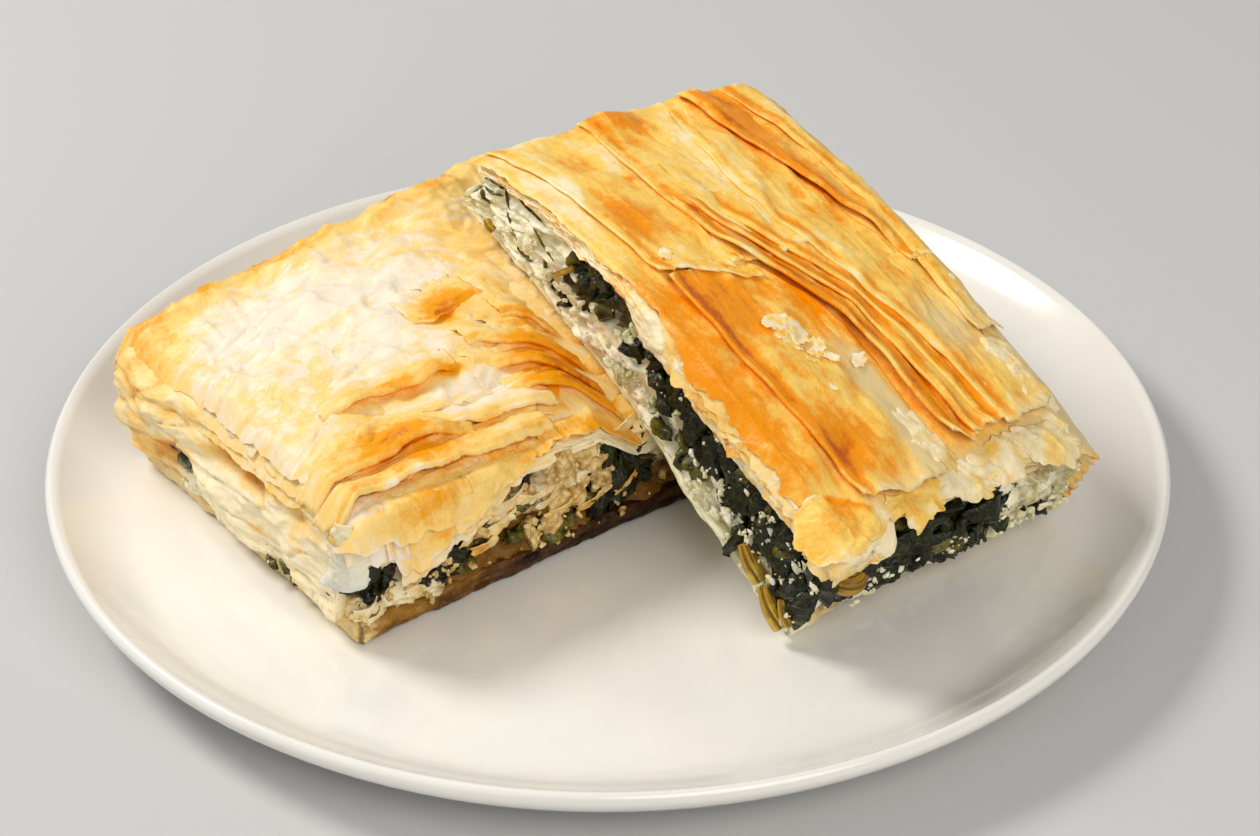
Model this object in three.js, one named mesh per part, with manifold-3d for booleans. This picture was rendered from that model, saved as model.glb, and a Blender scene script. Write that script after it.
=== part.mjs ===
// Two cut slices of spinach and cheese pie in flaky pastry, one leaning on the other, on a plain round plate.
// Millimetres, +Z up. The origin is the middle of the plate, on the surface that its foot stands on.
import * as THREE from 'three';
import { mergeVertices } from 'three/addons/utils/BufferGeometryUtils.js';
import Module from 'manifold-3d';

const wasm = await Module();
wasm.setup();

// ---- Driving dimensions ----

const plate = {
  radius: 110,
  wellRadius: 93,
  footRadius: 70,
  footWidth: 7,
  footHeight: 2.6,
  floor: 4.4,
  rimRise: 8,
  rimThickness: 3.4,
  rimSteps: 4,
  sides: 48,
};
const plateTop = plate.footHeight + plate.floor;
const gap = 0.4;

// A slice is measured from its near left corner: across its near cut face, then along, away from that face.
// At each corner, `under` is the height of its underside over the plate. Its top rises from there and leans back.
const flatSlice = {
  corner: [-45.4, -59.7],
  turn: THREE.MathUtils.degToRad(37.6),
  width: 84,
  length: 79,
  reach: 79,
  under: { nearLeft: 0.3, nearRight: 0.3, farLeft: 0.3, farRight: 0.3 },
  rise: { nearLeft: 29, nearRight: 27.6, farLeft: 28.4, farRight: 38 },
  lean: { nearLeft: 0, nearRight: 0, farLeft: 0, farRight: 0 },
  underBend: 0,
  topBend: { left: 0, right: 0 },
  crown: 7,
  bottomCrust: 4.2,
  topCrust: 5.5,
};
const leaningSlice = {
  corner: [31.9, -57.3],
  turn: THREE.MathUtils.degToRad(35.4),
  width: 68,
  length: 115,
  reach: 107.5,
  under: { nearLeft: 0.4, nearRight: 0.8, farLeft: 42, farRight: 37 },
  rise: { nearLeft: 30, nearRight: 19, farLeft: 14.5, farRight: 16 },
  lean: { nearLeft: 18, nearRight: 11.4, farLeft: 9.5, farRight: 8.4 },
  underBend: 4,
  topBend: { left: 5, right: 1.5 },
  crown: 0,
  bottomCrust: 2.4,
  topCrust: 4.2,
};
const wallThickness = 3;

// Pleats of the leaning slice's top. `line` says how many millimetres across a pleat's raised left edge lies at
// each of the stations along the slice. The pleat runs from `start` to `end`.
const stations = [12, 36, 60, 84, 108];
const pleats = [
  { line: [9, 7, 6.2, 5.7, 4], rise: 1.7, width: 16, start: 6, end: 100 },
  { line: [37, 35, 27, 22.5, 24], rise: 3.2, width: 3.4, start: 9, end: 118 },
  { line: [41, 39.5, 31, 26, 28], rise: 2.6, width: 4, start: 11, end: 118 },
  { line: [46, 43, 36.8, 31, 33], rise: 2.4, width: 6, start: 12, end: 118 },
  { line: [50.5, 47.4, 42, 39, 42], rise: 1.8, width: 10, start: 10, end: 118 },
  { line: [62, 60.5, 58.5, 52.5, 49], rise: 2.2, width: 8, start: 28, end: 118 },
  { line: [66, 64.5, 63.5, 62, 60.5], rise: 1.6, width: 7, start: 30, end: 118 },
];

// Tips of the leaning slice's top that stand up over its far end. Each is `across` it and has a reach and a rise.
const farTips = [
  { across: 29, width: 6, reach: 3, rise: 2.6 },
  { across: 50.5, width: 4.5, reach: 1.6, rise: 1.8 },
];

// Hollows in the slices' left faces. Each is `along` and `lift` from the near corner, and `size` is half of its
// measure in x, y and z before it turns with the slice.
const fillingHollow = { out: 0, along: 70, lift: 16, size: [5, 7, 3] };
const crustHollows = [
  { out: 3.4, along: 66, lift: 12.5, size: [3.6, 3.4, 3] },
  { out: 3.4, along: 44, lift: 19, size: [3.6, 7.5, 3.2] },
];

// On the flat slice's left side the crust comes down over a ledge of filling, and on its far side all the way.
const ledge = { low: 7, high: 8.8, depth: 5 };

// Ridges of the flat slice's top, each from one place to another, across and along.
const ridges = [
  { from: [2, 15], to: [27, 12], rise: 3.6, width: 5.5 },
  { from: [-1, 5], to: [34, 3.5], rise: 2.4, width: 3 },
  { from: [28, 11], to: [46, 9], rise: 1.8, width: 3 },
  { from: [19, 25], to: [37, 22.5], rise: 3.4, width: 4 },
  { from: [41, 38], to: [52, 39], rise: 1.8, width: 4 },
  { from: [44, 24], to: [66, 14], rise: 2.2, width: 2.6 },
  { from: [43, 18], to: [65, 8], rise: 2.4, width: 2.4 },
  { from: [45, 11], to: [64, 3], rise: 2, width: 2.6 },
  { from: [4, 77], to: [80, 77], rise: 2.2, width: 5 },
  { from: [3, 40], to: [6, 72], rise: 1.4, width: 4 },
];

// ---- Helpers ----

const { clamp, lerp, smoothstep } = THREE.MathUtils;

// Smooth unevenness between -1 and 1, always the same at the same place.
function wave(x, y, shift) {
  const first = Math.sin(x + 2.1 * Math.sin(0.7 * y + shift));
  const second = Math.sin(1.3 * y + 1.7 * Math.sin(0.9 * x - shift) + shift);
  return (first + second) / 2;
}

// A smooth hump, 1 in its middle.
function hump(distance, width) {
  return Math.exp(-((distance / width) ** 2));
}

// Gives numbers between 0 and 1 that look random and depend only on the seed.
function makeRandom(seed) {
  let state = seed;
  return function random() {
    state = (state * 1664525 + 1013904223) % 4294967296;
    return state / 4294967296;
  };
}

function solidOf(geometry) {
  const bare = geometry.clone();
  bare.deleteAttribute('normal');
  bare.deleteAttribute('uv');
  const merged = mergeVertices(bare, 1e-4);
  const vertProperties = merged.attributes.position.array;
  const triVerts = new Uint32Array(merged.index.array);
  const solid = new wasm.Manifold(new wasm.Mesh({ numProp: 3, vertProperties, triVerts }));
  if (solid.volume() > 0) return solid;
  for (let i = 0; i < triVerts.length; i += 3) {
    [triVerts[i + 1], triVerts[i + 2]] = [triVerts[i + 2], triVerts[i + 1]];
  }
  return new wasm.Manifold(new wasm.Mesh({ numProp: 3, vertProperties, triVerts }));
}

function geometryOf(solid) {
  const { vertProperties, triVerts } = solid.getMesh();
  const geometry = new THREE.BufferGeometry();
  geometry.setAttribute('position', new THREE.Float32BufferAttribute(vertProperties, 3));
  geometry.setIndex([...triVerts]);
  geometry.computeVertexNormals();
  return geometry;
}

function joined(solids) {
  return solids.reduce((whole, piece) => whole.add(piece));
}

// The largest body of a solid, without loose scraps and the sealed hollows between joined pieces.
function mainBody(solid) {
  return solid.decompose().reduce((largest, body) => (body.volume() > largest.volume() ? body : largest));
}

// Moves every vertex of a unit box, given by three numbers from 0 to 1, to where `place` puts it.
function bentBox(columns, rows, steps, place) {
  const geometry = new THREE.BoxGeometry(1, 1, 1, columns, rows, steps);
  const position = geometry.attributes.position;
  for (let i = 0; i < position.count; i += 1) {
    const a = position.getX(i) + 0.5;
    const b = position.getY(i) + 0.5;
    const c = position.getZ(i) + 0.5;
    position.setXYZ(i, ...place(a, b, c));
  }
  return solidOf(geometry);
}

// ---- The body of a slice ----

function cornerMix(values, a, b) {
  const near = lerp(values.nearLeft, values.nearRight, a);
  const far = lerp(values.farLeft, values.farRight, a);
  return lerp(near, far, b);
}

// How high the slice's underside is over the plate.
function underside(slice, across, along) {
  const b = along / slice.length;
  return cornerMix(slice.under, across / slice.width, b) + 4 * b * (1 - b) * slice.underBend;
}

// How far the slice's top rises over its underside, and how far it leans back.
function riseAndLean(slice, across, along) {
  const a = across / slice.width;
  const b = along / slice.length;
  const bend = lerp(slice.topBend.left, slice.topBend.right, a) + 4 * a * (1 - a) * slice.crown;
  const puff = 4 * b * (1 - b) * bend;
  return [cornerMix(slice.rise, a, b) + Math.max(puff, 0), cornerMix(slice.lean, a, b)];
}

function thickness(slice, across, along) {
  return Math.hypot(...riseAndLean(slice, across, along));
}

// A point of the slice, `lift` millimetres up through it from its underside.
function pointIn(slice, across, along, lift) {
  const [rise, lean] = riseAndLean(slice, across, along);
  const share = lift / Math.hypot(rise, lean);
  const back = (along * slice.reach) / slice.length - lean * share;
  const cos = Math.cos(slice.turn);
  const sin = Math.sin(slice.turn);
  return [
    slice.corner[0] + across * cos - back * sin,
    slice.corner[1] + across * sin + back * cos,
    plateTop + Math.max(underside(slice, across, along) + rise * share, 0.3),
  ];
}

// How much room the leaning slice leaves over a place of the flat one. Beside the leaning slice the room grows.
function roomUnder(across, along) {
  const [x, y] = pointIn(flatSlice, across, along, 0);
  const cos = Math.cos(leaningSlice.turn);
  const sin = Math.sin(leaningSlice.turn);
  const dx = x - leaningSlice.corner[0];
  const dy = y - leaningSlice.corner[1];
  const overAcross = dx * cos + dy * sin;
  const overAlong = ((dy * cos - dx * sin) * leaningSlice.length) / leaningSlice.reach;
  const beside = Math.max(-1 - overAcross, 0) + Math.max(overAlong - leaningSlice.length - 1, 0);
  const inside = clamp(overAlong, 0, leaningSlice.length);
  return underside(leaningSlice, Math.max(overAcross, 0), inside) - 0.8 + 0.8 * beside;
}

// How high a slice's top is, without its pleats and ridges.
function height(slice, across, along) {
  const free = thickness(slice, across, along);
  return slice === flatSlice ? Math.min(free, roomUnder(across, along) - 0.3) : free;
}

// The filling's top stays below the lowest place of the crust around it.
function fillingTop(slice, across, along) {
  const around = [[0, 0], [3.5, 0], [-3.5, 0], [0, 3.5], [0, -3.5]];
  const heights = around.map(([right, back]) => height(slice, across + right, along + back));
  return Math.min(...heights) - slice.topCrust - gap;
}

// Heights shared out evenly from one to another.
function evenly(bottom, top, steps) {
  return Array.from({ length: steps + 1 }, (_, i) => lerp(bottom, top, i / steps));
}

// A layer of a slice. `edges` says how far it reaches past each side of the slice, and `levels` gives the
// heights of its grid lines at one place, from its underside to its top.
function layer(slice, columns, rows, edges, levels) {
  const steps = levels(0, 0).length - 1;
  return bentBox(columns, rows, steps, (a, b, c) => {
    const across = lerp(-edges.left(b * slice.length, c), slice.width + edges.right(b * slice.length, c), a);
    const along = lerp(-edges.near(across, c), slice.length + edges.far(across, c), b);
    return pointIn(slice, across, along, levels(across, along)[Math.round(c * steps)]);
  });
}

// The places of a top crust's rows: two where it hangs past the near cut face, then evenly to its far edge.
function rowPlace(b, rows, near, far) {
  const row = Math.round(b * rows);
  const inner = Math.max(0.3, near + 1);
  if (row < 2) return lerp(near, inner, row / 2);
  return lerp(inner, far, (row - 2) / (rows - 2));
}

// ---- Pieces that stand out of a cut face ----

// A cut face is 'left', 'near' or 'far'. `run` goes sideways on it, and `out` comes out of it.
function onFace(slice, face, run, lift, out) {
  if (face === 'left') return pointIn(slice, -out, run, lift);
  if (face === 'near') return pointIn(slice, run, -out, lift);
  return pointIn(slice, run, slice.length + out, lift);
}

// A crumpled leaf, flat against a cut face.
function leaf(slice, face, run, lift, length, width, tilt, shift) {
  return bentBox(3, 2, 1, (a, b, c) => {
    const p = (a - 0.5) * length;
    const q = (b - 0.5) * width * (1 - 0.5 * Math.abs(2 * a - 1));
    const out = 0.5 * wave(4 * a, 3 * b, shift) + 1.1 * c - 1;
    const side = p * Math.cos(tilt) - q * Math.sin(tilt);
    const up = p * Math.sin(tilt) + q * Math.cos(tilt);
    return onFace(slice, face, run + side, lift + up, out);
  });
}

// A crumb of cheese, half sunk in a cut face.
function crumb(slice, face, run, lift, radius, random) {
  const geometry = new THREE.IcosahedronGeometry(radius, 0);
  geometry.scale(0.8 + 0.5 * random(), 0.8 + 0.5 * random(), 0.7 + 0.4 * random());
  geometry.rotateX(3 * random());
  geometry.rotateZ(3 * random());
  geometry.translate(...onFace(slice, face, run, lift, -0.8));
  return solidOf(geometry);
}

// A leaf stalk from one place on a cut face to another.
function stalk(slice, face, from, to, radius) {
  const start = new THREE.Vector3(...onFace(slice, face, from[0], from[1], -0.5 * radius));
  const end = new THREE.Vector3(...onFace(slice, face, to[0], to[1], -0.5 * radius));
  const direction = end.clone().sub(start);
  const geometry = new THREE.CylinderGeometry(0.8 * radius, radius, direction.length(), 8, 1);
  const turn = new THREE.Quaternion();
  turn.setFromUnitVectors(new THREE.Vector3(0, 1, 0), direction.clone().normalize());
  geometry.applyQuaternion(turn);
  geometry.translate(...start.add(end).multiplyScalar(0.5));
  return solidOf(geometry);
}

// The space of a hollow in a slice's left face.
function hollowSpace(slice, { out, along, lift, size }) {
  const geometry = new THREE.SphereGeometry(1, 8, 6);
  geometry.scale(...size);
  geometry.rotateZ(slice.turn);
  geometry.translate(...onFace(slice, 'left', along, lift, out));
  return solidOf(geometry);
}

// Leaves and crumbs in turn on a cut face. `run` is the stretch that they cover and `lift` the heights that they
// take, as shares of the slice's thickness.
function scatter(slice, face, { run, lift, leafLength, count, seed }) {
  const random = makeRandom(seed);
  const pieces = [];
  for (let i = 0; i < count; i += 1) {
    const place = lerp(run[0], run[1], (i + 0.5) / count);
    const across = face === 'left' ? 0 : place;
    const along = { left: place, near: 0, far: slice.length }[face];
    const middle = lerp(lift[0], lift[1], random()) * thickness(slice, across, along);
    if (i % 2 === 0) pieces.push(leaf(slice, face, place, middle, leafLength, 0.55 * leafLength, 3 * random(), i));
    else pieces.push(crumb(slice, face, place, middle, 1.8 + random(), random));
  }
  return pieces;
}

// Joins pieces to a slice's filling, kept to the room between its two crusts.
function withPieces(slice, core, pieces) {
  const wide = () => 4;
  const edges = { left: wide, right: wide, near: wide, far: wide };
  const floor = slice.bottomCrust + gap;
  const room = layer(slice, 8, 14, edges, (across, along) => [floor, fillingTop(slice, across, along)]);
  return core.add(joined(pieces).intersect(room));
}

// ---- The plate ----

function makePlate() {
  const { radius, wellRadius, footRadius, footWidth, footHeight, rimRise, rimThickness, rimSteps } = plate;
  const profile = [[0, footHeight], [footRadius - footWidth, footHeight], [footRadius - footWidth + 1, 0]];
  profile.push([footRadius - 1, 0], [footRadius, footHeight]);
  const curve = (step) => (step / rimSteps) ** 2 * rimRise;
  for (let step = 0; step <= rimSteps; step += 1) {
    const out = lerp(wellRadius, radius - 1, step / rimSteps);
    profile.push([out + 1, plateTop + curve(step) - lerp(plate.floor, rimThickness, step / rimSteps)]);
  }
  profile.push([radius, plateTop + rimRise - 1]);
  for (let step = rimSteps; step >= 0; step -= 1) {
    profile.push([lerp(wellRadius, radius - 1, step / rimSteps), plateTop + curve(step)]);
  }
  profile.push([0, plateTop]);
  const geometry = new THREE.LatheGeometry(profile.map(([r, z]) => new THREE.Vector2(r, z)), plate.sides);
  geometry.rotateX(Math.PI / 2);
  return solidOf(geometry);
}

// ---- The leaning slice ----

function pleatLine(pleat, along) {
  const place = clamp((along - stations[0]) / (stations[1] - stations[0]), 0, stations.length - 1);
  const before = Math.min(Math.floor(place), stations.length - 2);
  const straight = lerp(pleat.line[before], pleat.line[before + 1], place - before);
  return straight + 0.5 * wave(along / 5, pleat.line[0], 1);
}

// A pleat stands up steeply at its left edge and falls away slowly to its right.
function pleatHeight(across, along) {
  let height = 0;
  for (const pleat of pleats) {
    const right = across - pleatLine(pleat, along);
    const starts = smoothstep(along, pleat.start, pleat.start + 3);
    const ends = 1 - smoothstep(along, pleat.end - 4, pleat.end);
    const fall = 1 - 0.85 * clamp(right / pleat.width, 0, 1);
    height += pleat.rise * smoothstep(right, -0.5, 0.5) * fall * starts * ends;
  }
  return height;
}

// How far the top crust reaches past the cut faces. Where it falls short, the filling shows.
const leaningEdges = {
  left: (along) => 4.2 * (1 - smoothstep(along, 42, 58)) + 1.4 * wave(along / 4, 0, 2),
  right: (along) => 0.9 + 0.8 * wave(along / 5, 9, 3),
  near: (across) => {
    const corner = 3.4 * (1 - smoothstep(across, 10, 17));
    const bare = 5 * smoothstep(across, 12, 20) * (1 - smoothstep(across, 58, 64));
    return corner - bare + 1.2 * wave(across / 2.6, 3, 4);
  },
  far: (across) => {
    const reaches = farTips.map((tip) => tip.reach * hump(across - tip.across, tip.width));
    return 1.2 * wave(across / 3.2, 5, 1) + Math.max(...reaches);
  },
};

// The crust bends down where it hangs past a cut face, and towards the outer edge on the right.
function leaningCrustTop(across, along) {
  const left = Math.max(-across, 0);
  const near = Math.max(-along, 0);
  const far = Math.max(along - leaningSlice.length, 0);
  const right = Math.max(across - leaningSlice.width + 4, 0);
  const drop = 1.05 * left ** 1.3 + 1.2 * near ** 1.3 + 0.6 * far + 0.22 * right ** 1.6;
  const blister = 0.5 * wave(across / 2.4, along / 3.1, 6);
  const atFarEnd = smoothstep(along, leaningSlice.length - 12, leaningSlice.length);
  const tips = farTips.map((tip) => tip.rise * hump(across - tip.across, tip.width) * atFarEnd);
  const flat = thickness(leaningSlice, across, along);
  return flat + pleatHeight(across, along) + blister + Math.max(...tips) - drop;
}

// The crust's grid has a line at the foot and one at the crest of every pleat, so that their edges are sharp.
function leaningColumns(along) {
  const lines = [-leaningEdges.left(along)];
  for (const pleat of pleats) {
    const line = pleatLine(pleat, along);
    lines.push((lines.at(-1) + line) / 2, line - 0.6, line + 0.7);
  }
  const right = leaningSlice.width + leaningEdges.right(along);
  return [...lines, (lines.at(-1) + right) / 2, right];
}

function makeLeaningTopCrust() {
  const slice = leaningSlice;
  const columns = leaningColumns(0).length - 1;
  const rows = 22;
  const sheet = bentBox(columns, rows, 1, (a, b, c) => {
    const across = leaningColumns(rowPlace(b, rows, 0, slice.length))[Math.round(a * columns)];
    const along = rowPlace(b, rows, -leaningEdges.near(across), slice.length + leaningEdges.far(across));
    const top = leaningCrustTop(across, along);
    const hanging = clamp(Math.max(-across / 5, -along / 4, 0), 0, 1);
    const bottom = hanging > 0
      ? top - lerp(slice.topCrust, 1.3, hanging)
      : thickness(slice, across, along) - slice.topCrust;
    return pointIn(slice, across, along, lerp(bottom, top, c));
  });
  const outerWall = bentBox(1, 16, 3, (a, b, c) => {
    const along = lerp(1, slice.length, b);
    const outside = slice.width + 0.8 + 0.9 * wave(along / 5, 3 * c, 3) - 1.5 * c * c;
    const across = lerp(slice.width - wallThickness, outside, a);
    const bottom = slice.bottomCrust + gap;
    return pointIn(slice, across, along, lerp(bottom, thickness(slice, across, along) - 2.5, c));
  });
  return joined([sheet, outerWall]);
}

function makeLeaningFilling() {
  const slice = leaningSlice;
  const edges = {
    left: (along, c) => -1 + 0.6 * wave(along / 2.6, 5 * c, 1),
    right: () => -wallThickness - gap,
    near: (across, c) => -1 + 0.6 * wave(across / 2.6, 5 * c, 2),
    far: (across, c) => -1 + 0.6 * wave(across / 2.6, 5 * c, 3),
  };
  const core = layer(slice, 9, 16, edges, (across, along) => {
    const uneven = 0.7 * (1 + wave(across / 2, along / 2, 5));
    return evenly(slice.bottomCrust + gap, fillingTop(slice, across, along) - uneven, 4);
  });
  return withPieces(slice, core.subtract(hollowSpace(slice, fillingHollow)), [
    ...scatter(slice, 'left', { run: [3, 60], lift: [0.25, 0.52], leafLength: 11, count: 11, seed: 11 }),
    ...scatter(slice, 'left', { run: [86, 112], lift: [0.35, 0.55], leafLength: 7, count: 4, seed: 12 }),
    ...scatter(slice, 'near', { run: [4, 62], lift: [0.3, 0.5], leafLength: 10, count: 9, seed: 13 }),
    ...scatter(slice, 'far', { run: [6, 60], lift: [0.4, 0.5], leafLength: 8, count: 7, seed: 14 }),
    stalk(slice, 'left', [21, 5], [11, 4.2], 1.8),
    stalk(slice, 'left', [11, 5.5], [2, 4.6], 2.2),
    stalk(slice, 'near', [6, 19], [11, 19], 2.4),
  ]);
}

function makeBottomCrust(slice, far) {
  const edge = (shift) => (run, c) => 0.3 + 0.8 * wave(run / 4, 3 * c, shift);
  const edges = { left: edge(1), right: edge(2), near: edge(3), far: edge(far) };
  return layer(slice, 9, 13, edges, () => evenly(0, slice.bottomCrust, 2));
}

// ---- The flat slice ----

function ridgeHeight(across, along) {
  let height = 0;
  for (const { from, to, rise, width } of ridges) {
    const run = [to[0] - from[0], to[1] - from[1]];
    const lengthSquared = run[0] ** 2 + run[1] ** 2;
    const share = ((across - from[0]) * run[0] + (along - from[1]) * run[1]) / lengthSquared;
    const nearest = clamp(share, 0, 1);
    const away = Math.hypot(across - from[0] - nearest * run[0], along - from[1] - nearest * run[1]);
    height += rise * hump(away, width);
  }
  return height;
}

const flatEdges = {
  left: (along) => 1.6 + 0.9 * wave(along / 5, 2, 5),
  right: (along) => 0.8 * wave(along / 4, 2, 6),
  near: (across) => {
    const hanging = 4.4 * smoothstep(across, -2, 9) * (1 - 0.5 * smoothstep(across, 42, 62));
    return 0.6 + hanging + 1.1 * wave(across / 2.2, 1, 3);
  },
  far: (across) => 1.2 + 0.7 * wave(across / 5, 1, 2),
};

function flatCrustTop(across, along) {
  const near = Math.max(-along, 0);
  const left = Math.max(3 - across, 0);
  const far = Math.max(along - flatSlice.length + 2, 0);
  const drop = 1.15 * near ** 1.3 + 0.3 * left ** 1.5 + 0.3 * far ** 1.5;
  const uneven = 0.8 * wave(across / 4, along / 5, 7);
  const natural = thickness(flatSlice, across, along) + ridgeHeight(across, along) + uneven - drop;
  return Math.min(natural, roomUnder(across, along));
}

function makeFlatTopCrust() {
  const slice = flatSlice;
  const rows = 18;
  const sheet = bentBox(18, rows, 1, (a, b, c) => {
    const place = rowPlace(b, rows, 0, slice.length);
    const across = lerp(-flatEdges.left(place), slice.width + flatEdges.right(place), a);
    const along = rowPlace(b, rows, -flatEdges.near(across), slice.length + flatEdges.far(across));
    const top = flatCrustTop(across, along);
    const hanging = clamp(-along / 4.5, 0, 1);
    const bottom = hanging > 0
      ? top - lerp(slice.topCrust, 1.3, hanging)
      : height(slice, across, along) - slice.topCrust;
    return pointIn(slice, across, along, lerp(bottom, top, c));
  });
  const leftWall = bentBox(1, 18, 5, (a, b, c) => {
    const along = lerp(1.5, slice.length, b);
    const foot = ledge.high + 1.6 + 1.2 * wave(along / 5, 1, 4);
    const lift = lerp(foot, height(slice, 0, along) - 2.5, c);
    const bulge = 1.6 + 3.4 * Math.sin(Math.PI * clamp(c, 0, 1)) * smoothstep(along, 20, 75);
    const outside = bulge + 1.1 * wave(along / 3, 4 * c, 2);
    return pointIn(slice, lerp(-outside, ledge.depth - gap, a), along, lift);
  });
  const farWall = bentBox(14, 1, 3, (a, b, c) => {
    const across = lerp(-0.5, slice.width, a);
    const outside = 1 + 0.8 * wave(across / 5, 3 * c, 5) - 1.2 * c * c;
    const lift = lerp(slice.bottomCrust + gap, height(slice, across, slice.length) - 2.5, c);
    return pointIn(slice, across, slice.length + lerp(-wallThickness, outside, b), lift);
  });
  const leaningSliceSpace = bentBox(4, 16, 1, (a, b, c) => {
    const across = lerp(-1.6, leaningSlice.width + 3, a);
    const along = lerp(-3, leaningSlice.length + 3, b);
    return pointIn(leaningSlice, across, along, lerp(-0.6, 30, c));
  });
  const hollows = crustHollows.map((hollow) => hollowSpace(slice, hollow));
  return joined([sheet, leftWall, farWall]).subtract(joined([leaningSliceSpace, ...hollows]));
}

function makeFlatFilling() {
  const slice = flatSlice;
  const steps = 5;
  const edges = {
    left: (along, c) => {
      const inset = Math.round(c * steps) > 1 ? ledge.depth : 0;
      return -0.9 - inset + 0.5 * wave(along / 2.6, 5 * c, 1);
    },
    right: (along, c) => -1 + 0.5 * wave(along / 2.6, 5 * c, 4),
    near: (across, c) => -1 + 0.6 * wave(across / 2.6, 5 * c, 2),
    far: () => -wallThickness - gap,
  };
  const core = layer(slice, 10, 10, edges, (across, along) => {
    const uneven = 0.5 * (1 + wave(across / 2, along / 2, 5));
    const top = fillingTop(slice, across, along) - uneven;
    return [slice.bottomCrust + gap, ledge.low, ...evenly(ledge.high, top, steps - 2)];
  });
  return withPieces(slice, core, [
    ...scatter(slice, 'near', { run: [4, 62], lift: [0.24, 0.4], leafLength: 9, count: 11, seed: 21 }),
    ...scatter(slice, 'left', { run: [12, 74], lift: [0.16, 0.2], leafLength: 5, count: 7, seed: 22 }),
  ]);
}

// ---- The whole ----

const group = new THREE.Group();

function addNode(name, solid, color, roughness) {
  const material = new THREE.MeshStandardMaterial({ color, roughness, metalness: 0 });
  const mesh = new THREE.Mesh(geometryOf(mainBody(solid)), material);
  mesh.name = name;
  group.add(mesh);
}

addNode('plate', makePlate(), '#f1efe9', 0.15);
addNode('flat_slice_bottom_crust', makeBottomCrust(flatSlice, 4), '#a8671f', 0.6);
addNode('flat_slice_filling', makeFlatFilling(), '#5d6436', 0.6);
addNode('flat_slice_top_crust', makeFlatTopCrust(), '#edc98c', 0.5);
addNode('leaning_slice_bottom_crust', makeBottomCrust(leaningSlice, 5), '#dcc68e', 0.6);
addNode('leaning_slice_filling', makeLeaningFilling(), '#4c5530', 0.6);
addNode('leaning_slice_top_crust', makeLeaningTopCrust(), '#e3a03c', 0.5);

export default group;
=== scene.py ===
# Two cut slices of spinach and cheese pie in flaky pastry, one leaning on the other, on a plain round plate.
import math
import bpy
import numpy as np
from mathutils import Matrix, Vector


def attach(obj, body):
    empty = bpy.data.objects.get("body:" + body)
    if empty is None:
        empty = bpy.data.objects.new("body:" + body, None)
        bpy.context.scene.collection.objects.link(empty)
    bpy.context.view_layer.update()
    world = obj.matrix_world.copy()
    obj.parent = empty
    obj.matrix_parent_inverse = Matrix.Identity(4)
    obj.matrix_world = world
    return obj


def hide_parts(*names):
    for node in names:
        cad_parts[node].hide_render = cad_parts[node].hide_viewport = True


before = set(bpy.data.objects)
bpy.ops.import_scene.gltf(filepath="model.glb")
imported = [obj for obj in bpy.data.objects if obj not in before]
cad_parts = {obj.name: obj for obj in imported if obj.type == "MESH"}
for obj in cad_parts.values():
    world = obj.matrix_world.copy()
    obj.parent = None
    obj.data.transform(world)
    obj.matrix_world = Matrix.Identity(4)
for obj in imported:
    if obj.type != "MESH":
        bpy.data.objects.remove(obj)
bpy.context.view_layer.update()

# Lengths are in millimetres up to the last step, where a mesh gets its points in metres.
millimetre = 0.001
plateShape = {
    "radius": 110, "wellRadius": 93, "footRadius": 70, "footWidth": 6, "footHeight": 2.6,
    "floor": 4.4, "rimRise": 8, "rimThickness": 3.4, "turns": 128,
}
plateTop = plateShape["footHeight"] + plateShape["floor"]

# A slice is measured across its near cut face, then along, away from that face, then up from its underside.
flatSlice = {
    "corner": (-45.4, -59.7), "turn": math.radians(37.6), "width": 84, "length": 79, "reach": 79,
    "under": (0.3, 0.3, 0.3, 0.3), "rise": (29, 27.6, 28.4, 38), "lean": (0, 0, 0, 0),
    "underBend": 0, "topBend": (0, 0), "crown": 7, "bottomCrust": 4.2, "topCrust": 5.5,
}
leaningSlice = {
    "corner": (31.9, -57.3), "turn": math.radians(35.4), "width": 68, "length": 115, "reach": 107.5,
    "under": (0.4, 0.8, 42, 37), "rise": (30, 19, 14.5, 16), "lean": (18, 11.4, 9.5, 8.4),
    "underBend": 4, "topBend": (5, 1.5), "crown": 0, "bottomCrust": 2.4, "topCrust": 4.2,
}


# numbers and arrays of them
def mix(a, b, share):
    return a + (b - a) * share


def rampUp(value, low, high):
    share = np.clip((value - low) / (high - low), 0, 1)
    return share * share * (3 - 2 * share)


# a soft hill, 1 at its middle
def hump(distance, width):
    return np.exp(-np.square(distance / width))


def wave(x, y, shift):
    first = np.sin(x + 2.1 * np.sin(0.7 * y + shift))
    second = np.sin(1.3 * y + 1.7 * np.sin(0.9 * x - shift) + shift)
    return (first + second) / 2


def gridValue(ix, iy, iz, seed):
    mixed = ix * 73856093 ^ iy * 19349663 ^ iz * 83492791 ^ (seed * 7919 + 12345)
    mixed = (mixed ^ (mixed >> 13)) * 1274126177
    mixed = mixed ^ (mixed >> 16)
    return (mixed & 0xFFFF) / 32767.5 - 1


# smooth unevenness between -1 and 1, one lump to a unit
def lumps(x, y, z=0.0, seed=0):
    x, y, z = np.broadcast_arrays(np.asarray(x, float), y, z)
    ix, iy, iz = (np.floor(v).astype(np.int64) for v in (x, y, z))
    sx, sy, sz = ((v - w) ** 2 * (3 - 2 * (v - w)) for v, w in ((x, ix), (y, iy), (z, iz)))
    total = 0
    for dx, wx in ((0, 1 - sx), (1, sx)):
        for dy, wy in ((0, 1 - sy), (1, sy)):
            for dz, wz in ((0, 1 - sz), (1, sz)):
                total = total + wx * wy * wz * gridValue(ix + dx, iy + dy, iz + dz, seed)
    return total


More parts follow.
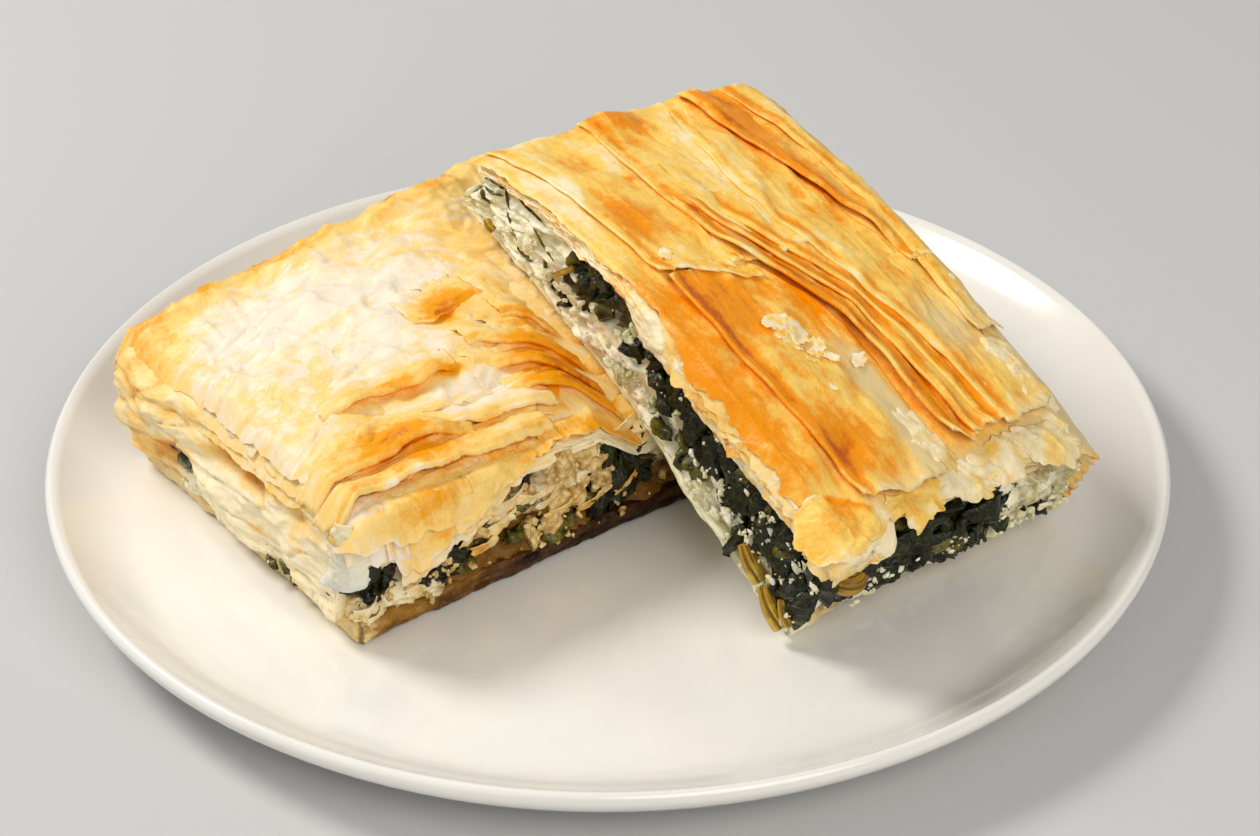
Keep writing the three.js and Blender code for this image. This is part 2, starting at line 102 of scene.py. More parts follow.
def rough(x, y, z=0.0, seed=0, octaves=3):
    total, share = 0, 1.0
    for octave in range(octaves):
        scale = 2.03 ** octave
        total = total + share * lumps(x * scale, y * scale, z * scale, seed + octave)
        share *= 0.5
    return total


# thin ridges up to 1, the sharper the higher `sharp`
def ridges(x, y, seed, sharp):
    return (1 - np.abs(lumps(x, y, 0, seed))) ** sharp


# value of a line given by (place, value) pairs, softened at its points
def lineAt(points, place):
    places, values = zip(*points)
    ahead = np.interp(place + 2, places, values)
    behind = np.interp(place - 2, places, values)
    return (ahead + behind) / 2


# places in a slice
def cornerMix(values, a, b):
    return mix(mix(values[0], values[1], a), mix(values[2], values[3], a), b)


def underside(slice, across, along):
    b = along / slice["length"]
    return cornerMix(slice["under"], across / slice["width"], b) + 4 * b * (1 - b) * slice["underBend"]


def riseAndLean(slice, across, along):
    a = across / slice["width"]
    b = along / slice["length"]
    bend = mix(slice["topBend"][0], slice["topBend"][1], a) + 4 * a * (1 - a) * slice["crown"]
    return cornerMix(slice["rise"], a, b) + np.maximum(4 * b * (1 - b) * bend, 0), cornerMix(slice["lean"], a, b)


def thickness(slice, across, along):
    return np.hypot(*riseAndLean(slice, across, along))


def pointIn(slice, across, along, lift):
    rise, lean = riseAndLean(slice, across, along)
    share = lift / np.hypot(rise, lean)
    back = along * slice["reach"] / slice["length"] - lean * share
    cos, sin = math.cos(slice["turn"]), math.sin(slice["turn"])
    x = slice["corner"][0] + across * cos - back * sin
    y = slice["corner"][1] + across * sin + back * cos
    z = plateTop + np.maximum(underside(slice, across, along) + rise * share, 0.3)
    return np.stack(np.broadcast_arrays(x, y, z), axis=-1)


# room that the leaning slice leaves over the flat one, opening beside it by `slope`
def roomUnder(across, along, slope=0.8):
    place = pointIn(flatSlice, across, along, 0.0)
    cos, sin = math.cos(leaningSlice["turn"]), math.sin(leaningSlice["turn"])
    dx = place[..., 0] - leaningSlice["corner"][0]
    dy = place[..., 1] - leaningSlice["corner"][1]
    overAcross = dx * cos + dy * sin
    overAlong = (dy * cos - dx * sin) * leaningSlice["length"] / leaningSlice["reach"]
    beside = np.maximum(-1 - overAcross, 0) + np.maximum(overAlong - leaningSlice["length"] - 1, 0)
    inside = np.clip(overAlong, 0, leaningSlice["length"])
    return underside(leaningSlice, np.maximum(overAcross, 0), inside) - 0.8 + slope * beside


# meshes and their finish
def deselectAll():
    if bpy.context.object and bpy.context.object.mode != "OBJECT":
        bpy.ops.object.mode_set(mode="OBJECT")
    bpy.ops.object.select_all(action="DESELECT")


def makeActive(piece):
    deselectAll()
    piece.select_set(True)
    bpy.context.view_layer.objects.active = piece


# attributes that the materials read
def setMarks(mesh, marks):
    for name, values in marks.items():
        values = np.asarray(values, np.float32)
        if values.ndim == 2:
            mesh.attributes.new(name, "FLOAT_VECTOR", "POINT").data.foreach_set("vector", values.ravel())
        else:
            mesh.attributes.new(name, "FLOAT", "POINT").data.foreach_set("value", values)


def applyModifier(piece, kind, **values):
    makeActive(piece)
    modifier = piece.modifiers.new(kind.title(), kind)
    for key, value in values.items():
        setattr(modifier, key, value)
    bpy.ops.object.modifier_apply(modifier=modifier.name)


# a look is a material, a finish slot and the nodes that the piece stands for
def finishPiece(piece, material, slot, nodes):
    piece.data.materials.clear()
    piece.data.materials.append(material)
    piece.data.polygons.foreach_set("use_smooth", np.ones(len(piece.data.polygons), bool))
    piece.data.update()
    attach(piece, "root")
    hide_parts(*nodes)
    return piece


# A thin sheet: a grid whose two shares, 0 to 1, are placed by the function `place`.
def makeSheet(name, columns, rows, place, thick, look):
    deselectAll()
    bpy.ops.mesh.primitive_grid_add(x_subdivisions=columns, y_subdivisions=rows, size=1, location=(0, 0, 0))
    piece = bpy.context.object
    piece.name = piece.data.name = name
    corners = np.empty(len(piece.data.vertices) * 3)
    piece.data.vertices.foreach_get("co", corners)
    a, b = corners.reshape(-1, 3)[:, 0] + 0.5, corners.reshape(-1, 3)[:, 1] + 0.5
    points, marks = place(a, b)
    piece.data.vertices.foreach_set("co", (points * millimetre).ravel())
    setMarks(piece.data, marks)
    piece.data.update()
    applyModifier(piece, "SOLIDIFY", thickness=thick * millimetre, offset=0)
    return finishPiece(piece, *look)


def meshFrom(name, points, faces, marks, look):
    mesh = bpy.data.meshes.new(name)
    mesh.from_pydata((points * millimetre).tolist(), [], faces)
    setMarks(mesh, marks)
    mesh.update()
    piece = bpy.data.objects.new(name, mesh)
    bpy.context.scene.collection.objects.link(piece)
    return finishPiece(piece, *look)


# Once round a slice, `inset` inside its cut faces, with rounded corners. Gives across, along, the outward
# direction and the distance gone.
def ringRound(slice, inset, radius, spacing):
    width, length = slice["width"], slice["length"]
    low, highAcross, highAlong = inset + radius, width - inset - radius, length - inset - radius
    centres = [(highAcross, low), (highAcross, highAlong), (low, highAlong), (low, low)]
    across, along, outAcross, outAlong = [], [], [], []
    for side in range(4):
        before, after = centres[side - 1], centres[side]
        angle = (side - 1) * math.pi / 2
        direction = (math.cos(angle), math.sin(angle))
        steps = max(int(math.dist(before, after) / spacing), 2)
        for i in range(steps):
            across.append(mix(before[0], after[0], i / steps) + radius * direction[0])
            along.append(mix(before[1], after[1], i / steps) + radius * direction[1])
            outAcross.append(direction[0])
            outAlong.append(direction[1])
        steps = max(int(radius * math.pi / 2 / spacing), 3)
        for i in range(steps):
            angle = (side - 1 + i / steps) * math.pi / 2
            across.append(after[0] + radius * math.cos(angle))
            along.append(after[1] + radius * math.sin(angle))
            outAcross.append(math.cos(angle))
            outAlong.append(math.sin(angle))
    ring = {"across": np.array(across), "along": np.array(along)}
    ring["outAcross"], ring["outAlong"] = np.array(outAcross), np.array(outAlong)
    gone = np.hypot(np.diff(ring["across"], append=across[0]), np.diff(ring["along"], append=along[0]))
    ring["run"] = np.concatenate([[0], np.cumsum(gone)[:-1]])
    return ring


# shares of the way out from a block's middle at which its caps have rings
capShares = [0.02, 0.3, 0.6, 0.8, 0.9, 0.96, 0.985]


# A closed block through a slice. `levels` gives its lift at a share c of its height, `push` how far its side
# stands out, and `marks` the attributes.
def makeBlock(name, slice, inset, levels, push, marks, look, spacing=0.5, steps=40, radius=2.0):
    ring = ringRound(slice, inset, radius, spacing)
    count = len(ring["across"])
    middle = (slice["width"] / 2, slice["length"] / 2)
    rows = [(share, 0.0) for share in capShares]
    rows += [(1.0, i / steps) for i in range(steps + 1)]
    rows += [(share, 1.0) for share in reversed(capShares)]
    points, collected = [], []
    for share, c in rows:
        out = push(ring, c)
        across = middle[0] + (ring["across"] + ring["outAcross"] * out - middle[0]) * share
        along = middle[1] + (ring["along"] + ring["outAlong"] * out - middle[1]) * share
        lift = levels(across, along, c)
        points.append(pointIn(slice, across, along, lift))
        collected.append(marks(ring, across, along, lift, c))
    points = np.concatenate(points)
    merged = {key: np.concatenate([np.broadcast_to(row[key], (count,) + np.shape(row[key])[1:])
                                   for row in collected]) for key in collected[0]}
    here = np.arange(count)
    after = (here + 1) % count
    faces = []
    for row in range(len(rows) - 1):
        low, high = row * count, (row + 1) * count
        faces.append(np.stack([here + low, after + low, after + high, here + high], axis=1))
    quads = np.concatenate(faces).tolist()
    last = (len(rows) - 1) * count
    quads.append(list(range(count - 1, -1, -1)))
    quads.append(list(range(last, last + count)))
    return meshFrom(name, points, quads, merged, look)


patternHigh = 22  # height that the patterns on a block's side are drawn to


# how much of a ring faces one side of its slice
def facing(ring, side, low=0.6):
    outward = {"left": -ring["outAcross"], "right": ring["outAcross"],
               "near": -ring["outAlong"], "far": ring["outAlong"]}
    return rampUp(outward[side], low, 1)


# pattern place of a sheet, different for each seed
def patternPlace(first, second, seed):
    return np.stack([first, second, 0 * first + seed], axis=-1)


# pattern place of a block's side
def plainPlace(ring, lift):
    return np.stack([lift * np.ones_like(ring["run"]), ring["run"], ring["outAcross"] * 3], axis=-1)


# sum of soft spots, each its middle in two directions, its half widths and its amount
def spotsAt(spots, first, second, plain):
    total = plain + 0 * first
    for middleFirst, middleSecond, wide, long, amount in spots:
        total = total + amount * hump(first - middleFirst, wide) * hump(second - middleSecond, long)
    return total


# direction and distance from the middle of a round patch made from a grid
def roundGrid(a, b):
    return np.arctan2(b - 0.5, a - 0.5), np.maximum(np.abs(a - 0.5), np.abs(b - 0.5)) * 2


# unevenness round the rim of such a patch
def rimRough(angle, scale, seed, octaves):
    return rough(scale * np.cos(angle), scale * np.sin(angle), 0.5, seed, octaves)


# A fold's section starts tucked under it, goes round its rolled edge and then over its top.
tuckedShare, rolledShare = 0.08, 0.2


def overTop(share):
    return np.clip((share - rolledShare) / (1 - rolledShare), 0, 1)


# place and lift on such a section, from its edge line and the heights of its top, its edge and the ground
def rolledSection(share, line, roll, tuck, beyond, top, edge, ground):
    angle = np.clip((share - tuckedShare) / (rolledShare - tuckedShare), 0, 1) * math.pi
    under = np.clip((tuckedShare - share) / tuckedShare, 0, 1)
    place = np.where(share < tuckedShare, line + roll + under * tuck,
                     np.where(share < rolledShare, line + roll - roll * np.sin(angle), line + roll + beyond))
    lift = np.where(share < tuckedShare, mix(edge - 2 * roll, ground, under),
                    np.where(share < rolledShare, edge - 2 * roll + roll * (1 - np.cos(angle)), top))
    return place, lift


# shader nodes
def colour(red, green, blue):
    return tuple((v / 255) ** 2.2 for v in (red, green, blue)) + (1,)


def addNode(tree, kind, inputs=None, **settings):
    node = tree.nodes.new(kind)
    for key, value in settings.items():
        setattr(node, key, value)
    for key, value in (inputs or {}).items():
        if isinstance(value, bpy.types.NodeSocket):
            tree.links.new(value, node.inputs[key])
        else:
            node.inputs[key].default_value = value
    return node


def sumOf(tree, first, second, factor=1.0):
    inputs = {0: second, 1: factor, 2: first}
    return addNode(tree, "ShaderNodeMath", inputs, operation="MULTIPLY_ADD").outputs[0]


def between(tree, value, low, high, start=0.0, end=1.0):
    node = addNode(tree, "ShaderNodeMapRange", {0: value, 1: low, 2: high, 3: start, 4: end})
    node.interpolation_type = "SMOOTHSTEP"
    return node.outputs[0]


def mixColours(tree, share, first, second):
    node = addNode(tree, "ShaderNodeMix", data_type="RGBA")
    for index, value in ((0, share), (6, first), (7, second)):
        if isinstance(value, bpy.types.NodeSocket):
            tree.links.new(value, node.inputs[index])
        else:
            node.inputs[index].default_value = value
    return node.outputs[2]


def noiseOver(tree, place, scale, detail=3.0, roughness=0.55):
    stretched = addNode(tree, "ShaderNodeMapping", {"Vector": place, "Scale": scale})
    noise = addNode(tree, "ShaderNodeTexNoise", {"Vector": stretched.outputs[0], "Scale": 1.0,
                                                 "Detail": detail, "Roughness": roughness})
    return addNode(tree, "ShaderNodeMath", {0: noise.outputs[0], 1: 0.5}, operation="SUBTRACT").outputs[0]


def makeGroup(name, inputs, outputs):
    group = bpy.data.node_groups.new(name, "ShaderNodeTree")
    kinds = {"f": "NodeSocketFloat", "c": "NodeSocketColor", "v": "NodeSocketVector"}
    for socketName, kind in inputs:
        group.interface.new_socket(name=socketName, in_out="INPUT", socket_type=kinds[kind])
    for socketName, kind in outputs:
        group.interface.new_socket(name=socketName, in_out="OUTPUT", socket_type=kinds[kind])
    return group, group.nodes.new("NodeGroupInput"), group.nodes.new("NodeGroupOutput")


# colour, shine and relief of baked pastry, from how browned and how clear it is
def makePastryTone():
    group, given, result = makeGroup(
        "pastryTone",
        [("Browned", "f"), ("Clear", "f"), ("Place", "v"), ("Pale", "c"), ("Golden", "c"), ("Deep", "c"),
         ("Scorched", "c"), ("Glassy", "c"), ("Patchiness", "f")],
        [("Color", "c"), ("Roughness", "f"), ("Relief", "f")])
    place = given.outputs["Place"]
    streaks = noiseOver(group, place, (0.6, 0.14, 0.5), 4.0, 0.6)
    patches = noiseOver(group, place, (0.22, 0.15, 0.2), 4.0, 0.65)
    blots = noiseOver(group, place, (0.62, 0.5, 0.5), 3.0, 0.6)
    specks = noiseOver(group, place, (2.3, 1.9, 1.6), 2.0, 0.6)
    uneven = sumOf(group, sumOf(group, 0.0, streaks, 0.26), patches, 0.75)
    uneven = sumOf(group, sumOf(group, uneven, blots, 0.3), specks, 0.16)
    scaled = addNode(group, "ShaderNodeMath", {0: uneven, 1: given.outputs["Patchiness"]}, operation="MULTIPLY")
    tone = addNode(group, "ShaderNodeMath", {0: given.outputs["Browned"], 1: scaled.outputs[0]}).outputs[0]
    shade = mixColours(group, between(group, tone, -0.02, 0.4), given.outputs["Pale"],
                       given.outputs["Golden"])
    shade = mixColours(group, between(group, tone, 0.36, 0.76), shade, given.outputs["Deep"])
    shade = mixColours(group, between(group, tone, 0.8, 1.15), shade, given.outputs["Scorched"])
    clear = sumOf(group, given.outputs["Clear"], blots, 0.9)
    shade = mixColours(group, between(group, clear, 0.15, 0.95), shade, given.outputs["Glassy"])
    group.links.new(shade, result.inputs["Color"])
    group.links.new(between(group, tone, 0.0, 0.9, 0.46, 0.34), result.inputs["Roughness"])
    relief = sumOf(group, sumOf(group, sumOf(group, 0.5, streaks, 0.3), blots, 0.6), specks, 0.25)
    group.links.new(relief, result.inputs["Relief"])
    return group


# colour, shine and relief of spinach with crumbled cheese, from how much of it is leaf
def makeFillingTone():
    group, given, result = makeGroup(
        "fillingTone",
        [("Greens", "f"), ("Murk", "f"), ("Place", "v"), ("Cheese", "c"), ("Curd", "c"), ("Leaf", "c"),
         ("Olive", "c"), ("Paste", "c")],
        [("Color", "c"), ("Roughness", "f"), ("Relief", "f")])
    place = given.outputs["Place"]
    clumps = noiseOver(group, place, (420, 420, 420), 4.0, 0.6)
    crumbs = noiseOver(group, place, (1100, 1100, 1100), 3.0, 0.6)
    tints = noiseOver(group, place, (240, 240, 240), 2.0)
    greens = sumOf(group, given.outputs["Greens"], clumps, 1.5)
    leafy = between(group, greens, 0.42, 0.58)
    cheese = mixColours(group, between(group, tints, -0.2, 0.12), given.outputs["Curd"],
                        given.outputs["Cheese"])
    murky = sumOf(group, given.outputs["Murk"], clumps, 0.9)
    cheese = mixColours(group, between(group, murky, 0.22, 0.7), cheese, given.outputs["Paste"])
    cheese = mixColours(group, between(group, crumbs, 0.16, 0.3), cheese, given.outputs["Olive"])
    leaf = mixColours(group, between(group, tints, 0.0, 0.3), given.outputs["Leaf"], given.outputs["Olive"])
    leaf = mixColours(group, between(group, crumbs, 0.2, 0.28), leaf, given.outputs["Cheese"])
    group.links.new(mixColours(group, leafy, cheese, leaf), result.inputs["Color"])
    group.links.new(between(group, leafy, 0.0, 1.0, 0.55, 0.28), result.inputs["Roughness"])
    group.links.new(sumOf(group, sumOf(group, 0.5, clumps, 0.6), crumbs, 0.5), result.inputs["Relief"])
    return group


pastryTone = makePastryTone()
fillingTone = makeFillingTone()


def newMaterial(name, **values):
    material = bpy.data.materials.new(name)
    material.use_nodes = True
    tree = material.node_tree
    tree.nodes.clear()
    shader = addNode(tree, "ShaderNodeBsdfPrincipled")
    for key, value in values.items():
        shader.inputs[key.replace("_", " ")].default_value = value
    output = addNode(tree, "ShaderNodeOutputMaterial")
    tree.links.new(shader.outputs[0], output.inputs[0])
    return material, tree, shader


def addRelief(tree, shader, height, depth, strength=1.0):
    bump = addNode(tree, "ShaderNodeBump", {"Height": height, "Distance": depth * millimetre,
                                            "Strength": strength})
    tree.links.new(bump.outputs[0], shader.inputs["Normal"])


def bakedPastry(name, pale, golden, deep, scorched, patchiness=1.0, relief=0.35, glassy=(222, 196, 140),
                glow=0.12):
    material, tree, shader = newMaterial(name, Subsurface_Weight=glow, Subsurface_Scale=0.002,
                                         Subsurface_Radius=(1.0, 0.55, 0.2), Specular_IOR_Level=0.3)
    tone = addNode(tree, "ShaderNodeGroup", node_tree=pastryTone)
    for attribute, socket, output in (("browned", "Browned", "Fac"), ("clear", "Clear", "Fac"),
                                      ("place", "Place", "Vector")):
        given = addNode(tree, "ShaderNodeAttribute", attribute_name=attribute)
        tree.links.new(given.outputs[output], tone.inputs[socket])
    for key, value in (("Pale", pale), ("Golden", golden), ("Deep", deep), ("Scorched", scorched),
                       ("Glassy", glassy)):
        tone.inputs[key].default_value = colour(*value)
    tone.inputs["Patchiness"].default_value = patchiness
    tree.links.new(tone.outputs["Color"], shader.inputs["Base Color"])
    tree.links.new(tone.outputs["Roughness"], shader.inputs["Roughness"])
    addRelief(tree, shader, tone.outputs["Relief"], relief)
    return material


def spinachAndCheese(name, cheese, curd, leaf, olive, paste):
    material, tree, shader = newMaterial(name, Subsurface_Weight=0.08, Subsurface_Scale=0.0015,
                                         Subsurface_Radius=(1.0, 0.9, 0.6), Specular_IOR_Level=0.35)
    place = addNode(tree, "ShaderNodeTexCoord").outputs["Object"]
    tone = addNode(tree, "ShaderNodeGroup", node_tree=fillingTone)
    for attribute, socket in (("greens", "Greens"), ("murk", "Murk")):
        given = addNode(tree, "ShaderNodeAttribute", attribute_name=attribute)
        tree.links.new(given.outputs["Fac"], tone.inputs[socket])
    tree.links.new(place, tone.inputs["Place"])
    for key, value in (("Cheese", cheese), ("Curd", curd), ("Leaf", leaf), ("Olive", olive),
                       ("Paste", paste)):
        tone.inputs[key].default_value = colour(*value)
    tree.links.new(tone.outputs["Color"], shader.inputs["Base Color"])
    tree.links.new(tone.outputs["Roughness"], shader.inputs["Roughness"])
    addRelief(tree, shader, tone.outputs["Relief"], 0.7)
    return material


def mottled(name, first, second, scale, roughness, relief, **values):
    material, tree, shader = newMaterial(name, Roughness=roughness, **values)
    place = addNode(tree, "ShaderNodeTexCoord").outputs["Object"]
    uneven = noiseOver(tree, place, scale, 4.0, 0.6)
    shade = mixColours(tree, between(tree, uneven, -0.18, 0.18), colour(*first), colour(*second))
    tree.links.new(shade, shader.inputs["Base Color"])
    addRelief(tree, shader, uneven, relief)
    return material


goldenPastry = bakedPastry("goldenPastry", (254, 234, 188), (253, 204, 98), (244, 146, 4), (196, 90, 0),
                           patchiness=1.15)
creamPastry = bakedPastry("creamPastry", (247, 231, 208), (254, 210, 120), (247, 160, 10), (196, 96, 0),
                          patchiness=1.15, glassy=(226, 214, 192))
layeredPastry = bakedPastry("layeredPastry", (250, 234, 194), (250, 208, 124), (224, 146, 34), (150, 80, 8),
                            patchiness=1.1, relief=0.5)
basePastry = bakedPastry("basePastry", (240, 212, 148), (150, 106, 34), (86, 52, 8), (36, 18, 0), relief=0.6)
steamedPastry = bakedPastry("steamedPastry", (244, 238, 198), (226, 202, 138), (150, 108, 40), (96, 66, 16),
                            relief=0.5)
clearPastry = bakedPastry("clearPastry", (226, 224, 214), (242, 224, 180), (240, 190, 110), (190, 120, 40),
                          patchiness=0.7, glassy=(214, 220, 226), glow=0.2)
leaningFillingLook = spinachAndCheese("leaningFillingLook", (255, 251, 226), (242, 234, 184), (14, 14, 4),
                                      (112, 100, 20), (150, 134, 58))
flatFillingLook = spinachAndCheese("flatFillingLook", (248, 236, 196), (226, 194, 122), (24, 22, 4),
                                   (110, 84, 14), (124, 84, 22))
wetLeaf = mottled("wetLeaf", (10, 11, 2), (46, 48, 8), (520, 520, 520), 0.16, 0.9, Specular_IOR_Level=0.3)
oliveLeaf = mottled("oliveLeaf", (24, 26, 6), (112, 102, 24), (420, 420, 420), 0.24, 0.8, Specular_IOR_Level=0.4)
freshCheese = mottled("freshCheese", (252, 249, 226), (234, 224, 166), (620, 620, 620), 0.5, 0.9,
                      Subsurface_Weight=0.12, Subsurface_Scale=0.0015, Subsurface_Radius=(1.0, 0.9, 0.6))
oliveCheese = mottled("oliveCheese", (244, 244, 200), (170, 166, 92), (560, 560, 560), 0.5, 0.9,
                      Subsurface_Weight=0.1, Subsurface_Scale=0.0015, Subsurface_Radius=(1.0, 0.9, 0.6))
bakedCheese = mottled("bakedCheese", (244, 216, 150), (176, 130, 52), (560, 560, 560), 0.5, 0.9,
                      Subsurface_Weight=0.1, Subsurface_Scale=0.0015, Subsurface_Radius=(1.0, 0.8, 0.4))


def makeStalkLook():
    material, tree, shader = newMaterial("leafStalk", Roughness=0.3, Coat_Weight=0.15)
    place = addNode(tree, "ShaderNodeAttribute", attribute_name="place").outputs["Vector"]
    fibres = noiseOver(tree, place, (0.12, 1.6, 1.0), 3.0)
    blots = noiseOver(tree, place, (0.3, 0.3, 1.0), 2.0)
    shade = mixColours(tree, between(tree, fibres, -0.15, 0.15), colour(130, 88, 0), colour(196, 150, 4))
    shade = mixColours(tree, between(tree, blots, 0.0, 0.25), shade, colour(216, 184, 48))
    tree.links.new(shade, shader.inputs["Base Color"])
    addRelief(tree, shader, fibres, 0.8)
    return material


leafStalk = makeStalkLook()
glazedWhite = mottled("glazedWhite", (240, 238, 232), (233, 230, 223), (14, 14, 14), 0.16, 0.02,
                      Coat_Weight=0.4)
print("materials made")

# the finish slot and the node of each part of a slice
leaningCrust = ("leaning_slice_flaky_pastry", ["leaning_slice_top_crust"])
leaningFilling = ("leaning_slice_spinach_and_cheese", ["leaning_slice_filling"])
leaningBase = ("leaning_slice_base_pastry", ["leaning_slice_bottom_crust"])
flatCrust = ("flat_slice_flaky_pastry", ["flat_slice_top_crust"])
flatFilling = ("flat_slice_spinach_and_cheese", ["flat_slice_filling"])
flatBase = ("flat_slice_base_pastry", ["flat_slice_bottom_crust"])
# thickness of each kind of pastry sheet
sheetThick = {"sheet": 0.4, "fold": 0.38, "corner": 0.3, "hanging": 0.24, "curl": 0.22, "patch": 0.14,
              "remains": 0.12, "flake": 0.1}


# The plate is a profile spun round: underside, foot ring, rim, and back over the top.
def makePlate():
    shape = plateShape
    floorLift = shape["footHeight"]
    inner = shape["footRadius"] - shape["footWidth"]
    profile = [(0, floorLift), (inner - 1.5, floorLift), (inner, floorLift - 0.5), (inner + 0.8, 0.3),
               (inner + 1.4, 0), (shape["footRadius"] - 1.2, 0), (shape["footRadius"] - 0.5, 0.4),
               (shape["footRadius"], floorLift - 0.2), (shape["footRadius"] + 2, floorLift + 0.1)]
    steps = 10
    for step in range(steps + 1):
        share = step / steps
        out = mix(shape["wellRadius"], shape["radius"] - 1, share)
        thick = mix(shape["floor"], shape["rimThickness"], share)
        profile.append((out + 1 - 0.6 * share, plateTop + share ** 2 * shape["rimRise"] - thick))
    rimTop = plateTop + shape["rimRise"]
    profile += [(shape["radius"] - 0.1, rimTop - 2.2), (shape["radius"], rimTop - 1.2),
                (shape["radius"] - 0.6, rimTop - 0.2)]
    for step in range(steps, -1, -1):
        share = step / steps
        profile.append((mix(shape["wellRadius"], shape["radius"] - 1.4, share),
                        plateTop + share ** 2 * shape["rimRise"]))
    profile += [(shape["wellRadius"] - 4, plateTop), (shape["wellRadius"] - 30, plateTop), (0, plateTop)]
    turns, rings = shape["turns"], profile[1:-1]
    here = np.arange(turns)
    after = (here + 1) % turns
    around = 2 * math.pi * here / turns
    points = [np.stack([r * np.cos(around), r * np.sin(around), z + 0 * around], axis=1) for r, z in rings]
    points.append([(0, 0, profile[0][1]), (0, 0, profile[-1][1])])
    faces = []
    for row in range(len(rings) - 1):
        low, high = row * turns, (row + 1) * turns
        faces += np.stack([here + low, after + low, after + high, here + high], axis=1).tolist()
    last, underMiddle = (len(rings) - 1) * turns, len(rings) * turns
    faces += [[underMiddle, b, a] for a, b in zip(here.tolist(), after.tolist())]
    faces += [[underMiddle + 1, a, b] for a, b in zip((here + last).tolist(), (after + last).tolist())]
    return meshFrom("plateDish", np.concatenate(points), faces, {}, (glazedWhite, "plate_glaze", ["plate"]))


makePlate()
print("plate made")


# the leaning slice's top crust
leaningCrustLook = (goldenPastry, *leaningCrust)
leaningLayerLook = (layeredPastry, *leaningCrust)

# where the leaning slice's top is browner or paler, with a little painted shade and a painted highlight among
# them: across, along, half widths, amount
leaningTones = [
    (-1, 34, 6, 24, 0.38), (3, 58, 4, 12, 0.2), (13, 81, 5, 9, 0.52), (12, 98, 4, 8, 0.2), (15, 20, 6, 6, 0.3),
    # (30, 50) is painted shade on the left side of the bundle of folds, and (35, 30) a painted shadow along its
    # left edge
    (16, 54, 8, 8, 0.26), (14, 38, 6, 10, 0.12), (30, 50, 3, 8, 0.42), (35, 30, 1.6, 14, 0.2),
    (30, 112, 6, 7, 0.4), (54, 104, 4.5, 15, 0.4), (56, 78, 3, 12, 0.3), (48, 78, 4, 12, 0.2),
    (26, 84, 4, 8, 0.2), (56, 18, 5, 6, 0.12), (36, 4, 32, 4.5, -0.3), (3, 94, 4, 22, -0.3),
    # (7, 94) is a painted highlight on a sheet's edge
    (7, 94, 1.6, 5, -0.5),
    (66, 18, 4, 11, -0.4), (68, 1, 3, 3, 0.4), (20.5, 93.5, 1.5, 1.5, 0.5), (24.5, 78.5, 1.4, 1.2, 0.5),
    (38, 92, 7, 12, -0.18),
    (45, 62, 4, 12, -0.14), (64, 40, 5, 6, -0.12), (64, 90, 2.5, 22, -0.1), (20, 101, 4, 9, -0.16),
]
# where it is clear enough to show the sheet below
leaningClear = [
    (29, 28, 3.6, 12, 1.1), (30, 14, 4, 7, 0.8), (55, 36, 6, 10, 0.8), (66, 18, 4, 12, 0.7),
    (22, 100, 2, 12, 0.5),
    (48, 98, 2.4, 10, 0.35), (27, 66, 1.8, 8, 0.5), (40, 6.5, 32, 5, 0.85), (60, 10, 10, 8, 0.6),
    (64, 32, 5, 8, 0.4),
    (21, 42, 3.4, 6, 0.3), (40, 88, 3, 3, 0.4), (44, 72, 3, 4, 0.4), (33, 86, 2.4, 3, 0.4),
]


def leaningSurface(across, along):
    left = np.maximum(-across, 0)
    near = np.maximum(-along, 0)
    far = np.maximum(along - leaningSlice["length"], 0)
    right = np.maximum(across - leaningSlice["width"] + 4, 0)
    drop = 1.05 * left ** 1.3 + 1.2 * near ** 1.3 + 0.6 * far + 0.22 * right ** 1.6
    return thickness(leaningSlice, across, along) + 0.4 * wave(across / 2.4, along / 3.1, 6) - drop


def leaningTips(across, along):
    atFarEnd = rampUp(along, 103, 115)
    return atFarEnd * np.maximum(2.6 * hump(across - 29, 6), 1.8 * hump(across - 50.5, 4.5))


# soft waves and a few crisp creases that run along a sheet, and blisters
def wrinkles(across, along, seed, depth=0.3):
    drift = across + 2.4 * lumps(across / 14, along / 15, 0, seed + 3)
    soft = rough(drift / 4.6, along / 17, 0, seed, 3)
    crease = ridges(drift / 3.4, along / 30, seed + 7, 8)
    blister = np.maximum(lumps(across / 3.1, along / 3.5, 0, seed + 11) - 0.3, 0)
    return depth * (1.3 * soft + 0.8 * crease + 1.5 * blister)


# how far a torn edge strays
def ragged(run, seed, depth):
    return depth * (0.55 * lumps(run / 5, 0.5, 0, seed) + 0.35 * lumps(run / 2, 0.5, 0, seed + 1)
                    + 0.22 * lumps(run / 0.8, 0.5, 0, seed + 2))


